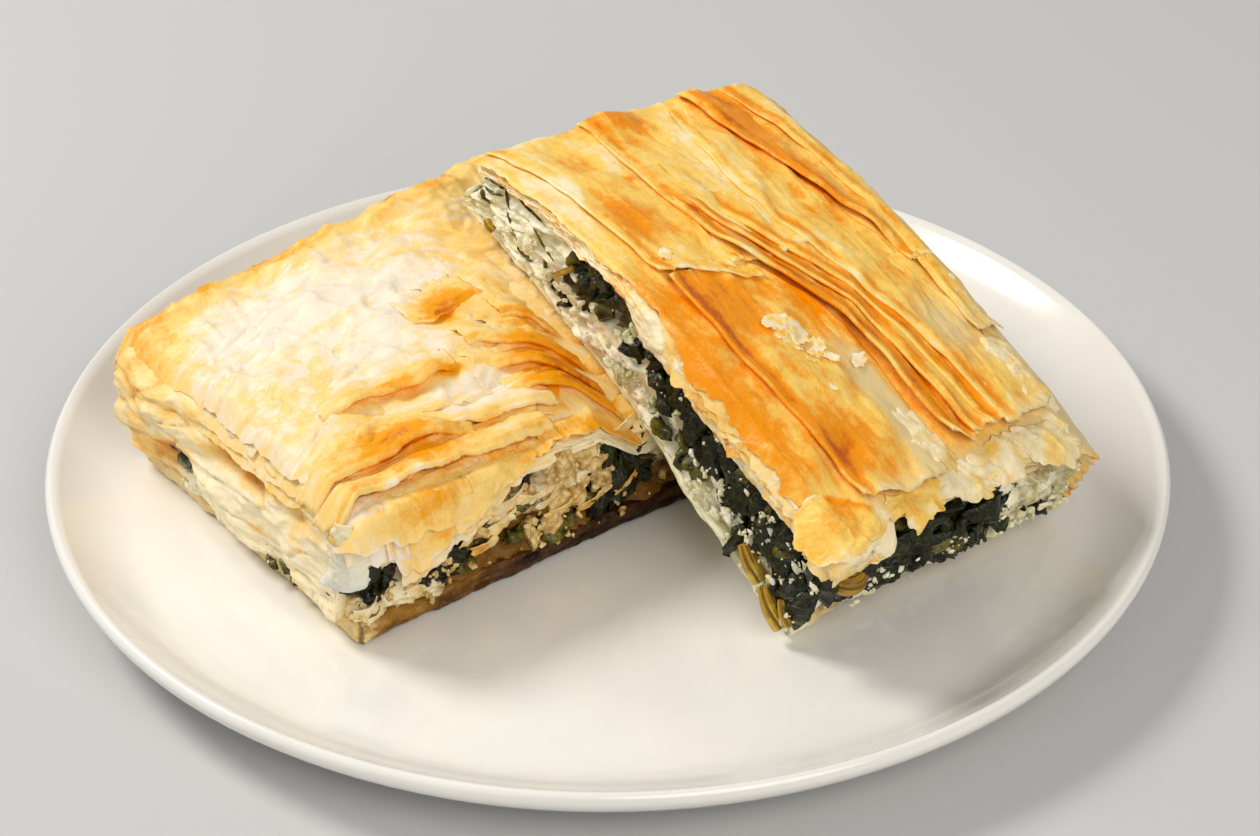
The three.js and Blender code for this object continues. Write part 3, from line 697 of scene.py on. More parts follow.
# The whole top sheet, or one of the sheets below it, `depth` under the surface.
def leaningLayer(name, depth, reach, nearEdge, look, columns, rows, seed, plain):
    def place(a, b):
        along = mix(-3.0, leaningSlice["length"] + 1, b)
        side = 0.5 - 0.5 * np.cos(math.pi * a)
        leftHang = (reach["left"] - 0.6) * (1 - rampUp(along, 42, 58)) + 0.6
        calm = 1 - 0.65 * rampUp(along, 42, 62)
        leftEdge = -leftHang + calm * ragged(along, seed, 1.6) + reach.get("inner", 0.0) * rampUp(along, 42, 62)
        rightEdge = leaningSlice["width"] + reach["right"] + ragged(along, seed + 5, 1.2)
        across = mix(leftEdge, rightEdge, side)
        nearLine = lineAt(nearEdge, across) + ragged(across, seed + 9, 1.6)
        farLine = leaningSlice["length"] + reach["far"] + ragged(across, seed + 12, 1.6)
        farLine = farLine + 2.6 * hump(across - 29, 6) + 1.4 * hump(across - 50.5, 4.5)
        along = mix(nearLine, farLine, b)
        lift = leaningSurface(across, along) - depth + wrinkles(across, along, seed + 30, 0.28)
        lift = lift + 0.5 * leaningTips(across, along)
        browned = spotsAt(leaningTones, across, along, plain)
        return pointIn(leaningSlice, across, along, lift), {
            "browned": browned, "clear": spotsAt(leaningClear, across, along, 0.0),
            "place": patternPlace(across, along, seed)}
    return makeSheet(name, columns, rows, place, sheetThick["sheet"], look)


cornerNear = [(-9, 0.5), (-2, -0.6), (6, -0.6), (10, 2), (14, 4.4), (60, 4.8), (64, 2.5), (70, 1.0)]
leaningLayer("leaningTopSheet", 0.0, {"left": 2.4, "right": 1.4, "far": 0.3}, cornerNear, leaningCrustLook,
             130, 220, 100, 0.42)
for step, (left, nearShift) in enumerate([(2.7, 0.7), (3.0, -0.3), (2.5, 0.9), (2.8, 0.1)]):
    edge = [(across, along - nearShift + (2 + step) * float(across > 60)) for across, along in cornerNear]
    reach = {"left": left, "right": 0.4 - 0.8 * step, "far": 0.2 - 0.3 * step, "inner": 0.5 + 0.4 * step}
    leaningLayer(f"leaningUnderSheet{step + 1}", 0.9 + 0.85 * step, reach, edge, leaningLayerLook,
                 60, 130, 200 + 50 * step, 0.12 + 0.05 * step)
print("leaning slice's sheets made")


straight = [(0, 0), (10, 0)]


# A sheet folded back at its left edge, which stands up, and lying on the surface to its right. `line` is its
# left edge and `width` its top, both given along the slice.
def leaningFold(name, fold, seed):
    start, end = fold["start"], fold["end"]

    def place(a, b):
        toRight = overTop(a)
        wide = lineAt(fold["width"], mix(start, end, b))
        nearLine = start + lineAt(fold["nearShape"], toRight * 10) + ragged(toRight * wide, seed, 1.5)
        farLine = end + ragged(toRight * wide, seed + 4, fold.get("farRag", 1.0))
        farLine = farLine + lineAt(fold.get("farShape", straight), toRight * 10)
        along = mix(nearLine, farLine, b)
        beyond = toRight * lineAt(fold["width"], along)
        left = lineAt(fold["line"], along) + 0.35 * lumps(along / 4, 0.5, 0, seed + 8)
        base = leaningSurface(left + beyond, along) + leaningTips(left + beyond, along) + 0.15
        fade = rampUp(along, end - fold.get("fade", 4), end)
        lead = 0.12 + 0.88 * rampUp(along, start, start + fold["lead"]) if "lead" in fold else 1.0
        rise = lead * fold["rise"] * (1 + 0.25 * lumps(along / 9, 0.5, 0, seed + 11))
        rise = rise * (1 - fold.get("sink", 0.0) * fade)
        waves = wrinkles(left + beyond, along, seed + 15, 1.0)
        top = base + rise * (1 - 0.86 * rampUp(toRight, -0.25, 1.0))
        top = top + fold["wrinkle"] * waves * rampUp(toRight, 0, 0.12)
        across, lift = rolledSection(a, left, 0.55 * fold["roll"], 2.2, beyond, top, base + rise, base)
        lift = lift + fold.get("curl", 1.0) * (1 - rampUp(along, nearLine, nearLine + 4))
        browned = spotsAt(leaningTones, across, along, fold["tone"])
        browned = browned + 0.3 * hump(beyond - 1.6, 1.1) * (a > rolledShare) - 0.3 * hump(along - nearLine, 0.8)
        # painted highlight along the crest of the fold's edge, as strong as the fold's `crest`
        paintedCrestHighlight = hump(beyond - 0.3, 0.7) * rampUp(lumps(along / 7, seed), -0.5, 0.6)
        browned = browned - fold.get("crest", 0.0) * paintedCrestHighlight - 0.25 * hump(farLine - along, 0.6)
        # painted light and shade: paler where the wrinkles stand up, browner in their hollows
        browned = browned - 0.13 * np.clip(waves, -1.5, 1.5) * (a > rolledShare)
        return pointIn(leaningSlice, across, along, lift), {
            "browned": browned, "clear": spotsAt(leaningClear, across, along, 0.0),
            "place": patternPlace(across, along, seed)}
    rows = int((end - start) / 0.55)
    return makeSheet(name, fold["columns"], rows, place, sheetThick["fold"], leaningCrustLook)


# a fold's `crest` is how strong the painted highlight along its crest is
leaningFolds = {
    "leaningFarLeftFold": {
        "line": [(60, 6), (75, 5.5), (97, 5), (118, 2)], "width": [(60, 20), (118, 22)],
        "start": 60, "end": 116, "rise": 1.1, "roll": 0.35, "wrinkle": 0.3, "tone": 0.42, "columns": 56,
        "nearShape": [(0, 4), (2, 6), (4, 3), (6, -2), (10, -4)]},
    "leaningWideFold": {
        "line": [(5, 9), (14, 9), (22, 8.5), (30, 8), (38, 6.6), (50, 6.8), (58, 6.2), (66, 7.5)],
        "width": [(5, 20), (20, 24), (40, 27), (50, 25), (60, 20), (66, 16)],
        "start": 7, "end": 65.5, "rise": 1.7, "roll": 0.5, "wrinkle": 0.32, "tone": 0.57, "columns": 66,
        "nearShape": [(0, 1.2), (3, -1.0), (6, -1.4), (10, 1.0)], "curl": 0.8, "farRag": 3.2,
        "farShape": [(0, -5), (1.5, -1), (3.5, 1.5), (5, 0), (7, -3), (10, -6)]},
    "leaningFarMiddleFold": {
        "line": [(76, 22.5), (95, 22.5), (110, 23), (118, 24)], "width": [(76, 22), (118, 27)],
        "start": 62, "end": 116.5, "rise": 1.4, "roll": 0.5, "wrinkle": 0.42, "tone": 0.42, "columns": 60,
        "nearShape": straight, "lead": 26},
    "leaningBundleRight": {
        "line": [(11, 46.6), (25, 45), (36, 43.6), (48, 41.4), (58, 37.8), (68, 33.2), (80, 29), (96, 30),
                 (116, 33)],
        "width": [(11, 7), (80, 9), (116, 11)],
        "start": 12, "end": 112, "rise": 1.5, "roll": 0.45, "wrinkle": 0.4, "tone": 0.55, "columns": 26,
        "nearShape": [(0, 0.5), (6, 1.8), (10, -0.6)], "crest": 0.24, "fade": 45, "sink": 0.8},
    "leaningBundleMiddle": {
        "line": [(11, 41.4), (25, 40.2), (36, 39.8), (48, 37.2), (58, 32.6), (68, 28.2), (80, 25.6), (96, 26.6),
                 (116, 28)],
        "width": [(11, 7), (80, 6), (116, 8)],
        "start": 12.5, "end": 112, "rise": 2.1, "roll": 0.5, "wrinkle": 0.34, "tone": 0.57, "columns": 26,
        "nearShape": [(0, 0), (10, 1.2)], "crest": 0.2, "fade": 45, "sink": 0.85},
    "leaningBundleLeft": {
        "line": [(9, 37.2), (15, 35.8), (25, 34.8), (36, 35), (44, 33.5), (50, 31), (60, 27), (68, 24),
                 (76, 22.2), (86, 23), (100, 24)],
        "width": [(9, 6), (44, 7.5), (76, 5.5), (100, 6)],
        "start": 10.5, "end": 92, "rise": 3.0, "roll": 0.65, "wrinkle": 0.3, "tone": 0.55, "columns": 28,
        "nearShape": [(0, 3.2), (4, 0), (10, 2.4)], "crest": 0.32, "fade": 26, "sink": 0.9},
    "leaningRightFold": {
        "line": [(11, 50.5), (22, 49.5), (30, 48.5), (40, 46.3), (48, 44.5), (58, 42.3), (66, 40.3), (80, 38.5),
                 (100, 41), (116, 43)],
        "width": [(11, 14), (20, 15), (30, 13), (60, 16), (116, 12)],
        "start": 12.5, "end": 113, "rise": 1.5, "roll": 0.45, "wrinkle": 0.36, "tone": 0.44, "columns": 44,
        "nearShape": [(0, -1.4), (3, 0.4), (6, -0.6), (10, 2.6)], "crest": 0.2, "fade": 20, "sink": 0.7},
    "leaningGrooveFold": {
        "line": [(48, 60), (60, 59), (70, 56), (80, 53.5), (90, 51.4), (100, 50), (116, 47)],
        "width": [(48, 5), (80, 8), (116, 13)],
        "start": 52, "end": 115.5, "rise": 2.1, "roll": 0.5, "wrinkle": 0.36, "tone": 0.5, "columns": 34,
        "nearShape": straight, "lead": 12},
    "leaningEdgeFold": {
        "line": [(30, 60), (40, 60.5), (60, 62), (80, 61.6), (100, 60.4), (116, 58)],
        "width": [(30, 8.4), (60, 7), (100, 8.6), (116, 10)],
        "start": 31.5, "end": 114.5, "rise": 1.3, "roll": 0.4, "wrinkle": 0.34, "tone": 0.46, "columns": 34,
        "nearShape": [(0, 1.5), (3, -0.8), (7, 1.4), (10, 0)]},
}
for number, (name, fold) in enumerate(leaningFolds.items()):
    leaningFold(name, fold, 700 + 40 * number)


# Loose flakes on the leaning slice: across, along, size, turn.
def leaningFlakes():
    spots = [(19, 45.5, 2.9, 0.3), (21.5, 42, 2.8, 1.4), (19.4, 40.5, 2.2, 2.2), (23, 38, 2.8, 0.8),
             (24.5, 35, 1.7, 2.6), (21, 36.5, 1.6, 0.5), (18, 42.6, 1.4, 1.0), (12, 33, 1.3, 0.4),
             (17, 31, 1.2, 1.2), (19.5, 29, 1.0, 2.0), (64, 44, 2.2, 0.9), (66, 40, 1.8, 2.2),
             (63.5, 37, 1.5, 0.2), (30, 33, 1.9, 0.2), (10, 68, 1.8, 1.0)]
    for number, (across0, along0, size, turned) in enumerate(spots):
        seed = 1240 + 11 * number

        def place(a, b):
            angle, reach = roundGrid(a, b)
            reach = reach * size * (1 + 0.45 * rimRough(angle, 1.6, seed, 3))
            p, q = reach * np.cos(angle), 0.7 * reach * np.sin(angle)
            across = across0 + p * math.cos(turned) - q * math.sin(turned)
            along = along0 + p * math.sin(turned) + q * math.cos(turned)
            curl = 0.16 * size * (p / size) ** 2 + 0.2 * lumps(p / 1.2, q / 1.2, 0, seed + 4)
            lift = leaningSurface(across, along) + (1.55 if across0 < 26 else 1.0) + curl
            marks = {"browned": 0.16 + 0.3 * lumps(p, q, 0, seed + 6), "clear": 0.1 + 0 * a,
                     "place": patternPlace(across, along, seed)}
            return pointIn(leaningSlice, across, along, lift), marks
        makeSheet(f"leaningFlake{number + 1}", 12, 12, place, sheetThick["flake"], leaningCrustLook)


leaningFlakes()


# The loose lobe that droops over the near left corner of the leaning slice.
def leaningCornerFlap():
    rimPoints = [(12, 8.7), (27, 6.6), (85, 6.6), (128, 7.6), (181, 7.2), (212, 6.8), (264, 4.8), (315, 5.0),
                 (341, 6.9)]
    turns, reaches = zip(*rimPoints)

    def place(a, b):
        angle, reach = roundGrid(a, b)
        rim = np.interp(np.degrees(angle) % 360, turns, reaches, period=360)
        rim = rim + 0.9 * rimRough(angle, 2.6, 640, 4)
        across = 1.5 + reach * rim * np.cos(angle)
        along = 4.2 + reach * rim * np.sin(angle)
        left, near = np.maximum(-across, 0), np.maximum(-along, 0)
        top = thickness(leaningSlice, np.maximum(across, 0), np.maximum(along, 0))
        top = top - 0.5 * left ** 1.35 - 1.2 * near ** 1.3 + 1.0 - 0.9 * rampUp(along, 6, 10)
        uneven = 0.5 * rough(across / 4, along / 4, 0, 645, 4) + 0.5 * ridges(across / 4.4, along / 3.2, 643, 4)
        lift = top + uneven * (1 - 0.5 * rampUp(reach, 0.8, 1.0))
        browned = 0.5 + 0.42 * lumps(across / 4, along / 4, 0, 648) + 0.16 * left / 4
        browned = browned - 0.24 * rampUp(reach, 0.9, 1.0)
        return pointIn(leaningSlice, across, along, lift), {
            "browned": browned, "clear": 0 * a, "place": patternPlace(across, along, 640)}
    return makeSheet("leaningCornerFlap", 60, 60, place, sheetThick["sheet"], leaningCrustLook)


leaningCornerFlap()


# Thin torn remains on the bare margins: across, along, half widths, height above, tone, clearness, turn.
def leaningPatches():
    for number, (across0, along0, wide, long, above, tone, clear, turned) in enumerate([
            (21, 5.4, 8, 4.2, 0.45, 0.24, 0.2, 0.2), (33, 5.0, 8, 3.6, 0.7, 0.12, 0.45, -0.15),
            (45, 6.4, 10, 4.4, 0.5, 0.2, 0.3, 0.3), (57, 7.0, 8, 5.0, 0.75, 0.1, 0.5, -0.3),
            (62.5, 16, 5, 8, 0.5, 0.12, 0.45, 0.1), (31, 15, 3.6, 8, 0.8, 0.1, 0.5, 0.2),
            (63.5, 27, 4.4, 6, 0.7, 0.14, 0.4, -0.2)]):
        seed = 3400 + 20 * number

        def place(a, b):
            angle, reach = roundGrid(a, b)
            rim = 1 + 0.34 * rimRough(angle, 2.2, seed, 4)
            p, q = wide * reach * rim * np.cos(angle), long * reach * rim * np.sin(angle)
            across = np.minimum(across0 + p * math.cos(turned) - q * math.sin(turned), 68.4)
            along = along0 + p * math.sin(turned) + q * math.cos(turned)
            drift = p * 0.7 + q * 0.7
            creases = ridges(drift / 3.2, (p - q) / 9, seed + 3, 5)
            lift = leaningSurface(across, along) + above - 0.45 * rampUp(reach, 0.6, 1.0)
            lift = lift + 0.55 * creases + 0.4 * rough(p / 4, q / 3, 0, seed + 6, 3)
            lift = lift + 0.5 * hump(reach - 1, 0.08) * lumps(across / 3, along / 3, 0, seed)
            marks = {"browned": tone + 0.3 * lumps(p / 3, q / 3, 0, seed + 9) - 0.1 * creases,
                     "clear": clear - 0.2 * creases, "place": patternPlace(across, along, seed)}
            return pointIn(leaningSlice, across, along, lift), marks
        makeSheet(f"leaningPatch{number + 1}", 32, 32, place, sheetThick["remains"], leaningCrustLook)


leaningPatches()
print("leaning slice's folds made")


# how low the crust comes down the left cut face
leaningCrustLow = [(0, 26.5), (10, 25.5), (20, 23), (30, 21.8), (42, 22.2), (50, 20.5), (57, 20), (62, 24),
                   (70, 24.6), (76, 22), (85, 20.6), (95, 19.4), (105, 17), (115, 13)]


def makeLeaningCrustBody():
    slice = leaningSlice

    def levels(across, along, c):
        top = leaningSurface(np.clip(across, 0, slice["width"]), along) - 0.9
        onLeft = 1 - rampUp(across, 0.5, 3)
        onNear = (1 - rampUp(along, 0.5, 3)) * rampUp(across, 3, 8)
        bottom = thickness(slice, across, along) - slice["topCrust"] - 0.3
        bottom = mix(bottom, lineAt(leaningCrustLow, along) + ragged(along, 300, 1.1), onLeft)
        bottom = bottom - onNear * np.maximum(0.6 + ragged(across, 310, 1.2), 0)
        wallShare = rampUp(across, slice["width"] - 4, slice["width"] - 2.5)
        bottom = mix(bottom, slice["bottomCrust"] + 0.3, wallShare)
        return mix(bottom, top, c)

    def push(ring, c):
        onLeft, onNear = facing(ring, "left"), facing(ring, "near")
        layers = 0.5 * np.sin(c * 34 + 2.5 * lumps(ring["run"] / 7, 0.5, 0, 31))
        layers = layers * rampUp(lumps(ring["run"] / 5, c, 0, 38), -0.4, 0.4)
        crumbly = 0.8 * rough(ring["run"] / 3, c * 3.4, 0, 32, 4) + layers
        back = 6.4 * rampUp(ring["across"], 11, 17)
        rounded = np.where(onNear > 0.5, 1.0, np.sin(math.pi * np.clip(c, 0, 1)) ** 0.5)
        stand = (2.3 * onLeft * (1 - rampUp(ring["along"], 50, 80)) + (0.9 - back) * onNear + 0.3) * rounded
        return crumbly * 0.7 + stand

    def marks(ring, across, along, lift, c):
        blots = rough(ring["run"] / 4 + 1.3 * c, c * 3 - ring["run"] / 9, 0, 39)
        browned = 0.08 + 0.16 * lumps(ring["run"] / 5, c * 3, 0, 33) + 0.42 * facing(ring, "right", 0.5)
        browned = browned + 0.35 * rampUp(blots, 0.25, 0.9)
        # browner on the near face where it is set back under the top: partly the crust's own browner underside,
        # partly painted shade
        browned = browned + 0.3 * facing(ring, "near") * rampUp(ring["across"], 11, 17)
        return {"browned": browned, "place": plainPlace(ring, lift)}

    makeBlock("leaningCrustBody", slice, 0.2, levels, push, marks, leaningLayerLook, 0.45, 54)


makeLeaningCrustBody()


# The fillings. Greens say how much of a cut face is leaf, and murk where it is darker paste. Spots are given by
# their place along the face and their lift.
leaningLeftGreens = [
    (8, 19, 9, 6.5, 0.8), (24, 15, 10, 7, 0.9), (44, 17, 8, 5, 1.1), (58, 17, 5, 4, 0.35), (68, 20, 5, 5, 0.9),
    (75, 12, 2, 7, 0.6), (81, 17, 1.8, 4, 0.5), (85, 5, 3, 1.4, 0.6), (110, 13, 3, 1.4, 0.6),
    (19, 4, 1.4, 5, 0.7),
    (35, 5, 3, 2, 0.4), (99, 20, 5, 0.6, 0.5), (102, 4, 4, 1.2, 0.35),
]
leaningMurk = [(37, 10, 6, 4, 0.8), (69, 14, 5, 6, 0.5), (61, 21, 3, 3, 0.4), (95, 21, 14, 1.6, 0.5),
               (30, 9, 5, 4, 0.4), (84, 5, 4, 2, 0.4), (53, 8, 8, 6, 0.32)]
leaningNearGreens = [(8, 18, 12, 12, 1.1), (26, 17, 13, 11, 1.1), (41, 15, 6, 9, 0.9), (62, 12, 1.5, 4, 0.5)]


# greens round a block, given those on its left and near faces
def greensOver(ring, c, left, near, seed):
    onLeft, onNear = facing(ring, "left"), facing(ring, "near")
    other = 0.35 + 0.5 * lumps(ring["run"] / 9, c * 2.4, 0, seed)
    return onLeft * left + onNear * near + (1 - onLeft) * (1 - onNear) * other


def makeLeaningFilling():
    slice = leaningSlice

    def levels(across, along, c):
        top = thickness(slice, across, along) - slice["topCrust"] - 0.1
        return mix(slice["bottomCrust"] + 0.2, top, c)

    def push(ring, c):
        run, high = ring["run"], c * patternHigh
        slanted = run - 0.9 * high
        relief = 1.1 * rough(slanted / 6, high / 3.2, 0, 41, 5) - 0.9 * ridges(slanted / 9, high / 3.4, 48, 9)
        relief = relief + 0.4 * np.abs(lumps(run / 1.6, high / 1.6, 0, 45)) - 0.4
        hollow = 3.4 * hump(ring["along"] - 69, 6.5) * hump(c - 0.72, 0.2)
        hollow = hollow + 2.2 * hump(ring["along"] - 45, 5) * hump(c - 0.6, 0.2)
        setBack = 2.6 * facing(ring, "right") + 1.0 * facing(ring, "near") * hump(c - 0.9, 0.2)
        return relief - facing(ring, "left") * hollow - setBack

    def marks(ring, across, along, lift, c):
        greens = greensOver(ring, c, spotsAt(leaningLeftGreens, along, lift, 0.06),
                            spotsAt(leaningNearGreens, across, lift, 0.1), 47)
        murk = facing(ring, "left") * spotsAt(leaningMurk, along, lift, 0.0)
        murk = murk + facing(ring, "near") * (0.2 + 0.24 * rampUp(across, 44, 52))
        return {"greens": greens + 0 * lift, "murk": murk + 0 * lift}

    look = (leaningFillingLook, *leaningFilling)
    makeBlock("leaningFillingBody", slice, 1.2, levels, push, marks, look, 0.48, 62)


makeLeaningFilling()


# a place on a cut face: `run` sideways, `lift` up, `out` away from it
def onFace(slice, face, run, lift, out):
    if face == "left":
        return pointIn(slice, -out, run, lift)
    if face == "right":
        return pointIn(slice, slice["width"] + out, run, lift)
    if face == "near":
        return pointIn(slice, run, -out, lift)
    return pointIn(slice, run, slice["length"] + out, lift)


# Crumpled leaves: each has two faces that meet at its rim. `spots` is a list of face, run, lift, length, width
# and tilt.
def makeLeaves(name, slice, spots, look, seed, depth=1.1, stand=0.0):
    longSteps, wideSteps, halfThick = 29, 17, 0.22
    a, b = np.meshgrid(np.linspace(0, 1, longSteps), np.linspace(0, 1, wideSteps), indexing="ij")
    rim = np.minimum(np.minimum(a, 1 - a) * 5, np.minimum(b, 1 - b) * 3).clip(0, 1)
    points, faces = [], []
    grid = np.arange(longSteps * wideSteps).reshape(longSteps, wideSteps)
    quads = np.stack([grid[:-1, :-1], grid[1:, :-1], grid[1:, 1:], grid[:-1, 1:]], axis=-1).reshape(-1, 4)
    for index, (face, run, lift, length, width, tilt) in enumerate(spots):
        own = seed + 31 * index
        p = (a - 0.5) * length + 1.0 * lumps(a * 2, b * 2, 0, own + 5)
        q = (b - 0.5) * width * (0.5 + 0.5 * np.sin(math.pi * (0.06 + 0.88 * a)) ** 0.6)
        q = q + min(1.1, 0.6 * width) * lumps(a * 3, b * 2, 0, own)
        high = min(1.5, 0.8 * width)
        dome = np.sqrt(np.clip(1 - (2 * a - 1) ** 2, 0, 1) * np.clip(1 - (2 * b - 1) ** 2, 0, 1))
        crumple = rough(p / 4.2, q / 2.6, 0, own + 2, 3)
        crease = ridges(p / 6, q / 2.2, own + 1, 5)
        out = depth * (crumple + 0.9 * crease) * (0.3 + 0.7 * dome) + high * dome - high - 0.2 + stand
        out = out + 0.5 * math.sin(own * 1.7)
        for side in (1, -1):
            sheetOut = out + side * halfThick * rim - 0.2
            sidewise = p * math.cos(tilt) - q * math.sin(tilt)
            upwards = p * math.sin(tilt) + q * math.cos(tilt)
            placed = onFace(slice, face, run + sidewise, lift + upwards, sheetOut)
            start = len(points) * longSteps * wideSteps
            points.append(placed.reshape(-1, 3))
            turned = face in ("left", "far")
            forward = (side > 0) != turned
            faces.append((quads if forward else quads[:, ::-1]) + start)
    piece = meshFrom(name, np.concatenate(points), np.concatenate(faces).tolist(), {}, look)
    makeActive(piece)
    bpy.ops.object.mode_set(mode="EDIT")
    bpy.ops.mesh.select_all(action="SELECT")
    bpy.ops.mesh.remove_doubles(threshold=0.000002)
    bpy.ops.object.mode_set(mode="OBJECT")
    return piece


# radii from which a crumb is made finer
crumbLimits = [0.8, 2, 4]


# Crumbs of cheese, half sunk in a cut face. `spots` is a list of face, run, lift and radius.
def makeCrumbs(name, slice, spots, look, seed, stand=0.0):
    balls = {}
    for detail in range(2, 3 + len(crumbLimits)):
        deselectAll()
        bpy.ops.mesh.primitive_ico_sphere_add(subdivisions=detail, radius=1, location=(0, 0, 0))
        ball = bpy.context.object
        balls[detail] = (np.array([v.co for v in ball.data.vertices]),
                         np.array([list(f.vertices) for f in ball.data.polygons]))
        bpy.data.objects.remove(ball)
    points, faces, count = [], [], 0
    for index, (face, run, lift, radius) in enumerate(spots):
        own = seed + 17 * index
        detail = 2 + sum(radius >= limit for limit in crumbLimits)
        shape, corners = balls[detail]
        size = np.array([1 + 0.45 * math.sin(own), 1 + 0.35 * math.sin(2.3 * own), 0.72])
        coarse = rough(shape[:, 0] * 1.5 + own, shape[:, 1] * 1.5, shape[:, 2] * 1.5, own, 4)
        chipped = np.abs(lumps(shape[:, 0] * 2.6, shape[:, 1] * 2.6 + own, shape[:, 2] * 2.6, own + 9))
        for cut in range(4):
            flat = np.array([math.sin(own * 1.3 + cut * 2.1), math.cos(own * 0.7 + cut * 1.7),
                             math.sin(cut * 2.9 + own)])
            flat = flat / np.linalg.norm(flat)
            shape = shape - np.clip(shape @ flat - 0.55, 0, None)[:, None] * flat
        body = shape * size * (1.1 + 0.3 * coarse - 0.3 * chipped)[:, None] * radius
        raised = stand + (0.9 * math.sin(own * 2.3) + 0.5 if radius < crumbLimits[0] else 0.0)
        placed = onFace(slice, face, run + body[:, 0], lift + body[:, 1], body[:, 2] - 0.5 * radius + raised)
        faces.append((corners[:, ::-1] if face in ("left", "far") else corners) + count)
        points.append(placed)
        count += len(shape)
    return meshFrom(name, np.concatenate(points), np.concatenate(faces).tolist(), {}, look)


# Ribbed stalks on a cut face: face, start and end as run and lift, radius, and how far the middle bows out.
def makeStalks(name, slice, stalks, look):
    around, steps, ribs = 18, 26, 9
    points, faces, places = [], [], []
    for face, start, end, radius, bow in stalks:
        t = np.linspace(0, 1, steps)
        run = mix(start[0], end[0], t)
        lift = mix(start[1], end[1], t)
        out = bow * np.sin(math.pi * t)
        path = onFace(slice, face, run, lift, out)
        tangent = np.gradient(path, axis=0)
        tangent /= np.linalg.norm(tangent, axis=1)[:, None]
        up = np.cross(tangent, [0.3, 0.2, 1.0])
        up /= np.linalg.norm(up, axis=1)[:, None]
        side = np.cross(tangent, up)
        angle = np.linspace(0, 2 * math.pi, around, endpoint=False)
        ribbed = 1 + 0.03 * np.sin(ribs * angle) + 0.06 * np.sin(2 * angle + 1)
        length = math.dist(start, end)
        pattern = np.broadcast_arrays((t * length)[:, None], (angle * radius)[None, :], bow)
        places.append(np.stack(pattern, axis=-1).reshape(-1, 3))
        taper = radius * (0.85 + 0.15 * np.sin(2.5 * t)) * np.sqrt(np.clip(np.minimum(t, 1 - t) * 30, 0.02, 1))
        rings = path[:, None] + taper[:, None, None] * ribbed[None, :, None] * (
            np.cos(angle)[None, :, None] * up[:, None] + np.sin(angle)[None, :, None] * side[:, None])
        base = sum(len(ring) for ring in points)
        points.append(rings.reshape(-1, 3))
        here = np.arange(around)
        after = (here + 1) % around
        for row in range(steps - 1):
            low, high = base + row * around, base + (row + 1) * around
            faces += np.stack([here + low, here + high, after + high, after + low], axis=1).tolist()
        faces.append((base + here).tolist())
        faces.append((base + (steps - 1) * around + here[::-1]).tolist())
    piece = meshFrom(name, np.concatenate(points), faces, {"place": np.concatenate(places)}, look)
    makeActive(piece)
    bpy.ops.object.mode_set(mode="EDIT")
    bpy.ops.mesh.select_all(action="SELECT")
    bpy.ops.mesh.normals_make_consistent(inside=False)
    bpy.ops.object.mode_set(mode="OBJECT")
    return piece


random = np.random.default_rng(7)


def drawn(ends):
    return mix(ends[0], ends[1], random.random())


# Leaves from rows of face, run, lift, length, width and tilt. A row with ranges gives as many as its count says:
# face, runs, lifts, count, longest, tilts.
def leafSpots(rows):
    spots = []
    for row in rows:
        if not isinstance(row[1], tuple):
            spots.append(row)
            continue
        face, runs, lifts, count, longest, tilts = row
        for i in range(count):
            run = mix(runs[0], runs[1], (i + random.random()) / count)
            lift = drawn(lifts)
            length = longest * drawn((0.6, 1.0))
            spots.append((face, run, lift, length, length * drawn((0.45, 0.7)), drawn(tilts)))
    return spots


# Crumbs from rows of face, run, lift and radius, or with ranges: face, runs, lifts, count, smallest, largest.
def crumbSpots(rows):
    spots = []
    for row in rows:
        if not isinstance(row[1], tuple):
            spots.append(row)
            continue
        face, runs, lifts, count, small, large = row
        for _ in range(count):
            run, lift = drawn(runs), drawn(lifts)
            spots.append((face, run, lift, mix(small, large, random.random() ** 2.5)))
    return spots


makeLeaves("leaningLeaves", leaningSlice, leafSpots([
    ("left", (0, 18), (9, 24), 9, 14, (1.0, 2.3)), ("left", (15, 34), (8, 20), 10, 13, (0.6, 2.4)),
    ("left", (33, 52), (12, 19), 8, 12, (0.2, 1.6)), ("left", (52, 60), (13, 19), 3, 6, (0, 3)),
    ("left", (62, 74), (16, 24), 4, 10, (-0.8, 0.2)), ("left", (72, 82), (5, 17), 4, 9, (1.2, 1.9)),
    ("left", 18.5, 5, 10, 3.4, 1.5), ("left", 6, 8, 9, 5, 1.2), ("near", 29, 9, 9, 3.4, 1.5),
    ("near", (0, 22), (6, 25), 12, 13, (0, 3)), ("near", (20, 46), (6, 15), 8, 12, (0, 3)),
    ("near", (16, 45), (17, 24), 8, 10, (-0.4, 0.6)), ("near", (46, 64), (5, 12), 3, 5, (0, 3)),
    ("far", (3, 60), (5, 11), 12, 8, (-0.5, 0.5))]), (wetLeaf, *leaningFilling), 900)
makeLeaves("leaningOliveLeaves", leaningSlice, leafSpots([
    ("left", (2, 34), (8, 22), 4, 8, (0.6, 2.4)), ("left", (30, 46), (4, 12), 4, 8, (0.0, 1.2)),
    ("left", (60, 84), (8, 20), 4, 7, (0.6, 2.0)), ("near", (0, 44), (6, 22), 4, 9, (0, 3))]),
    (oliveLeaf, *leaningFilling), 1100)
makeLeaves("leaningThreads", leaningSlice, [
    ("left", 89, 14, 8, 0.45, 0.25), ("left", 97, 17.5, 10, 0.4, -0.05), ("left", 99, 9, 8, 0.4, 0.6),
    ("left", 107, 13, 6, 0.6, -0.4), ("left", 93, 5.5, 6, 0.5, -0.2), ("left", 103, 15, 5, 0.4, 0.9),
    ("left", 110, 9, 4, 0.8, 0.3), ("left", 86, 8, 5, 0.6, 0.9)], (oliveLeaf, *leaningFilling), 1150, 0.15, 0.1)
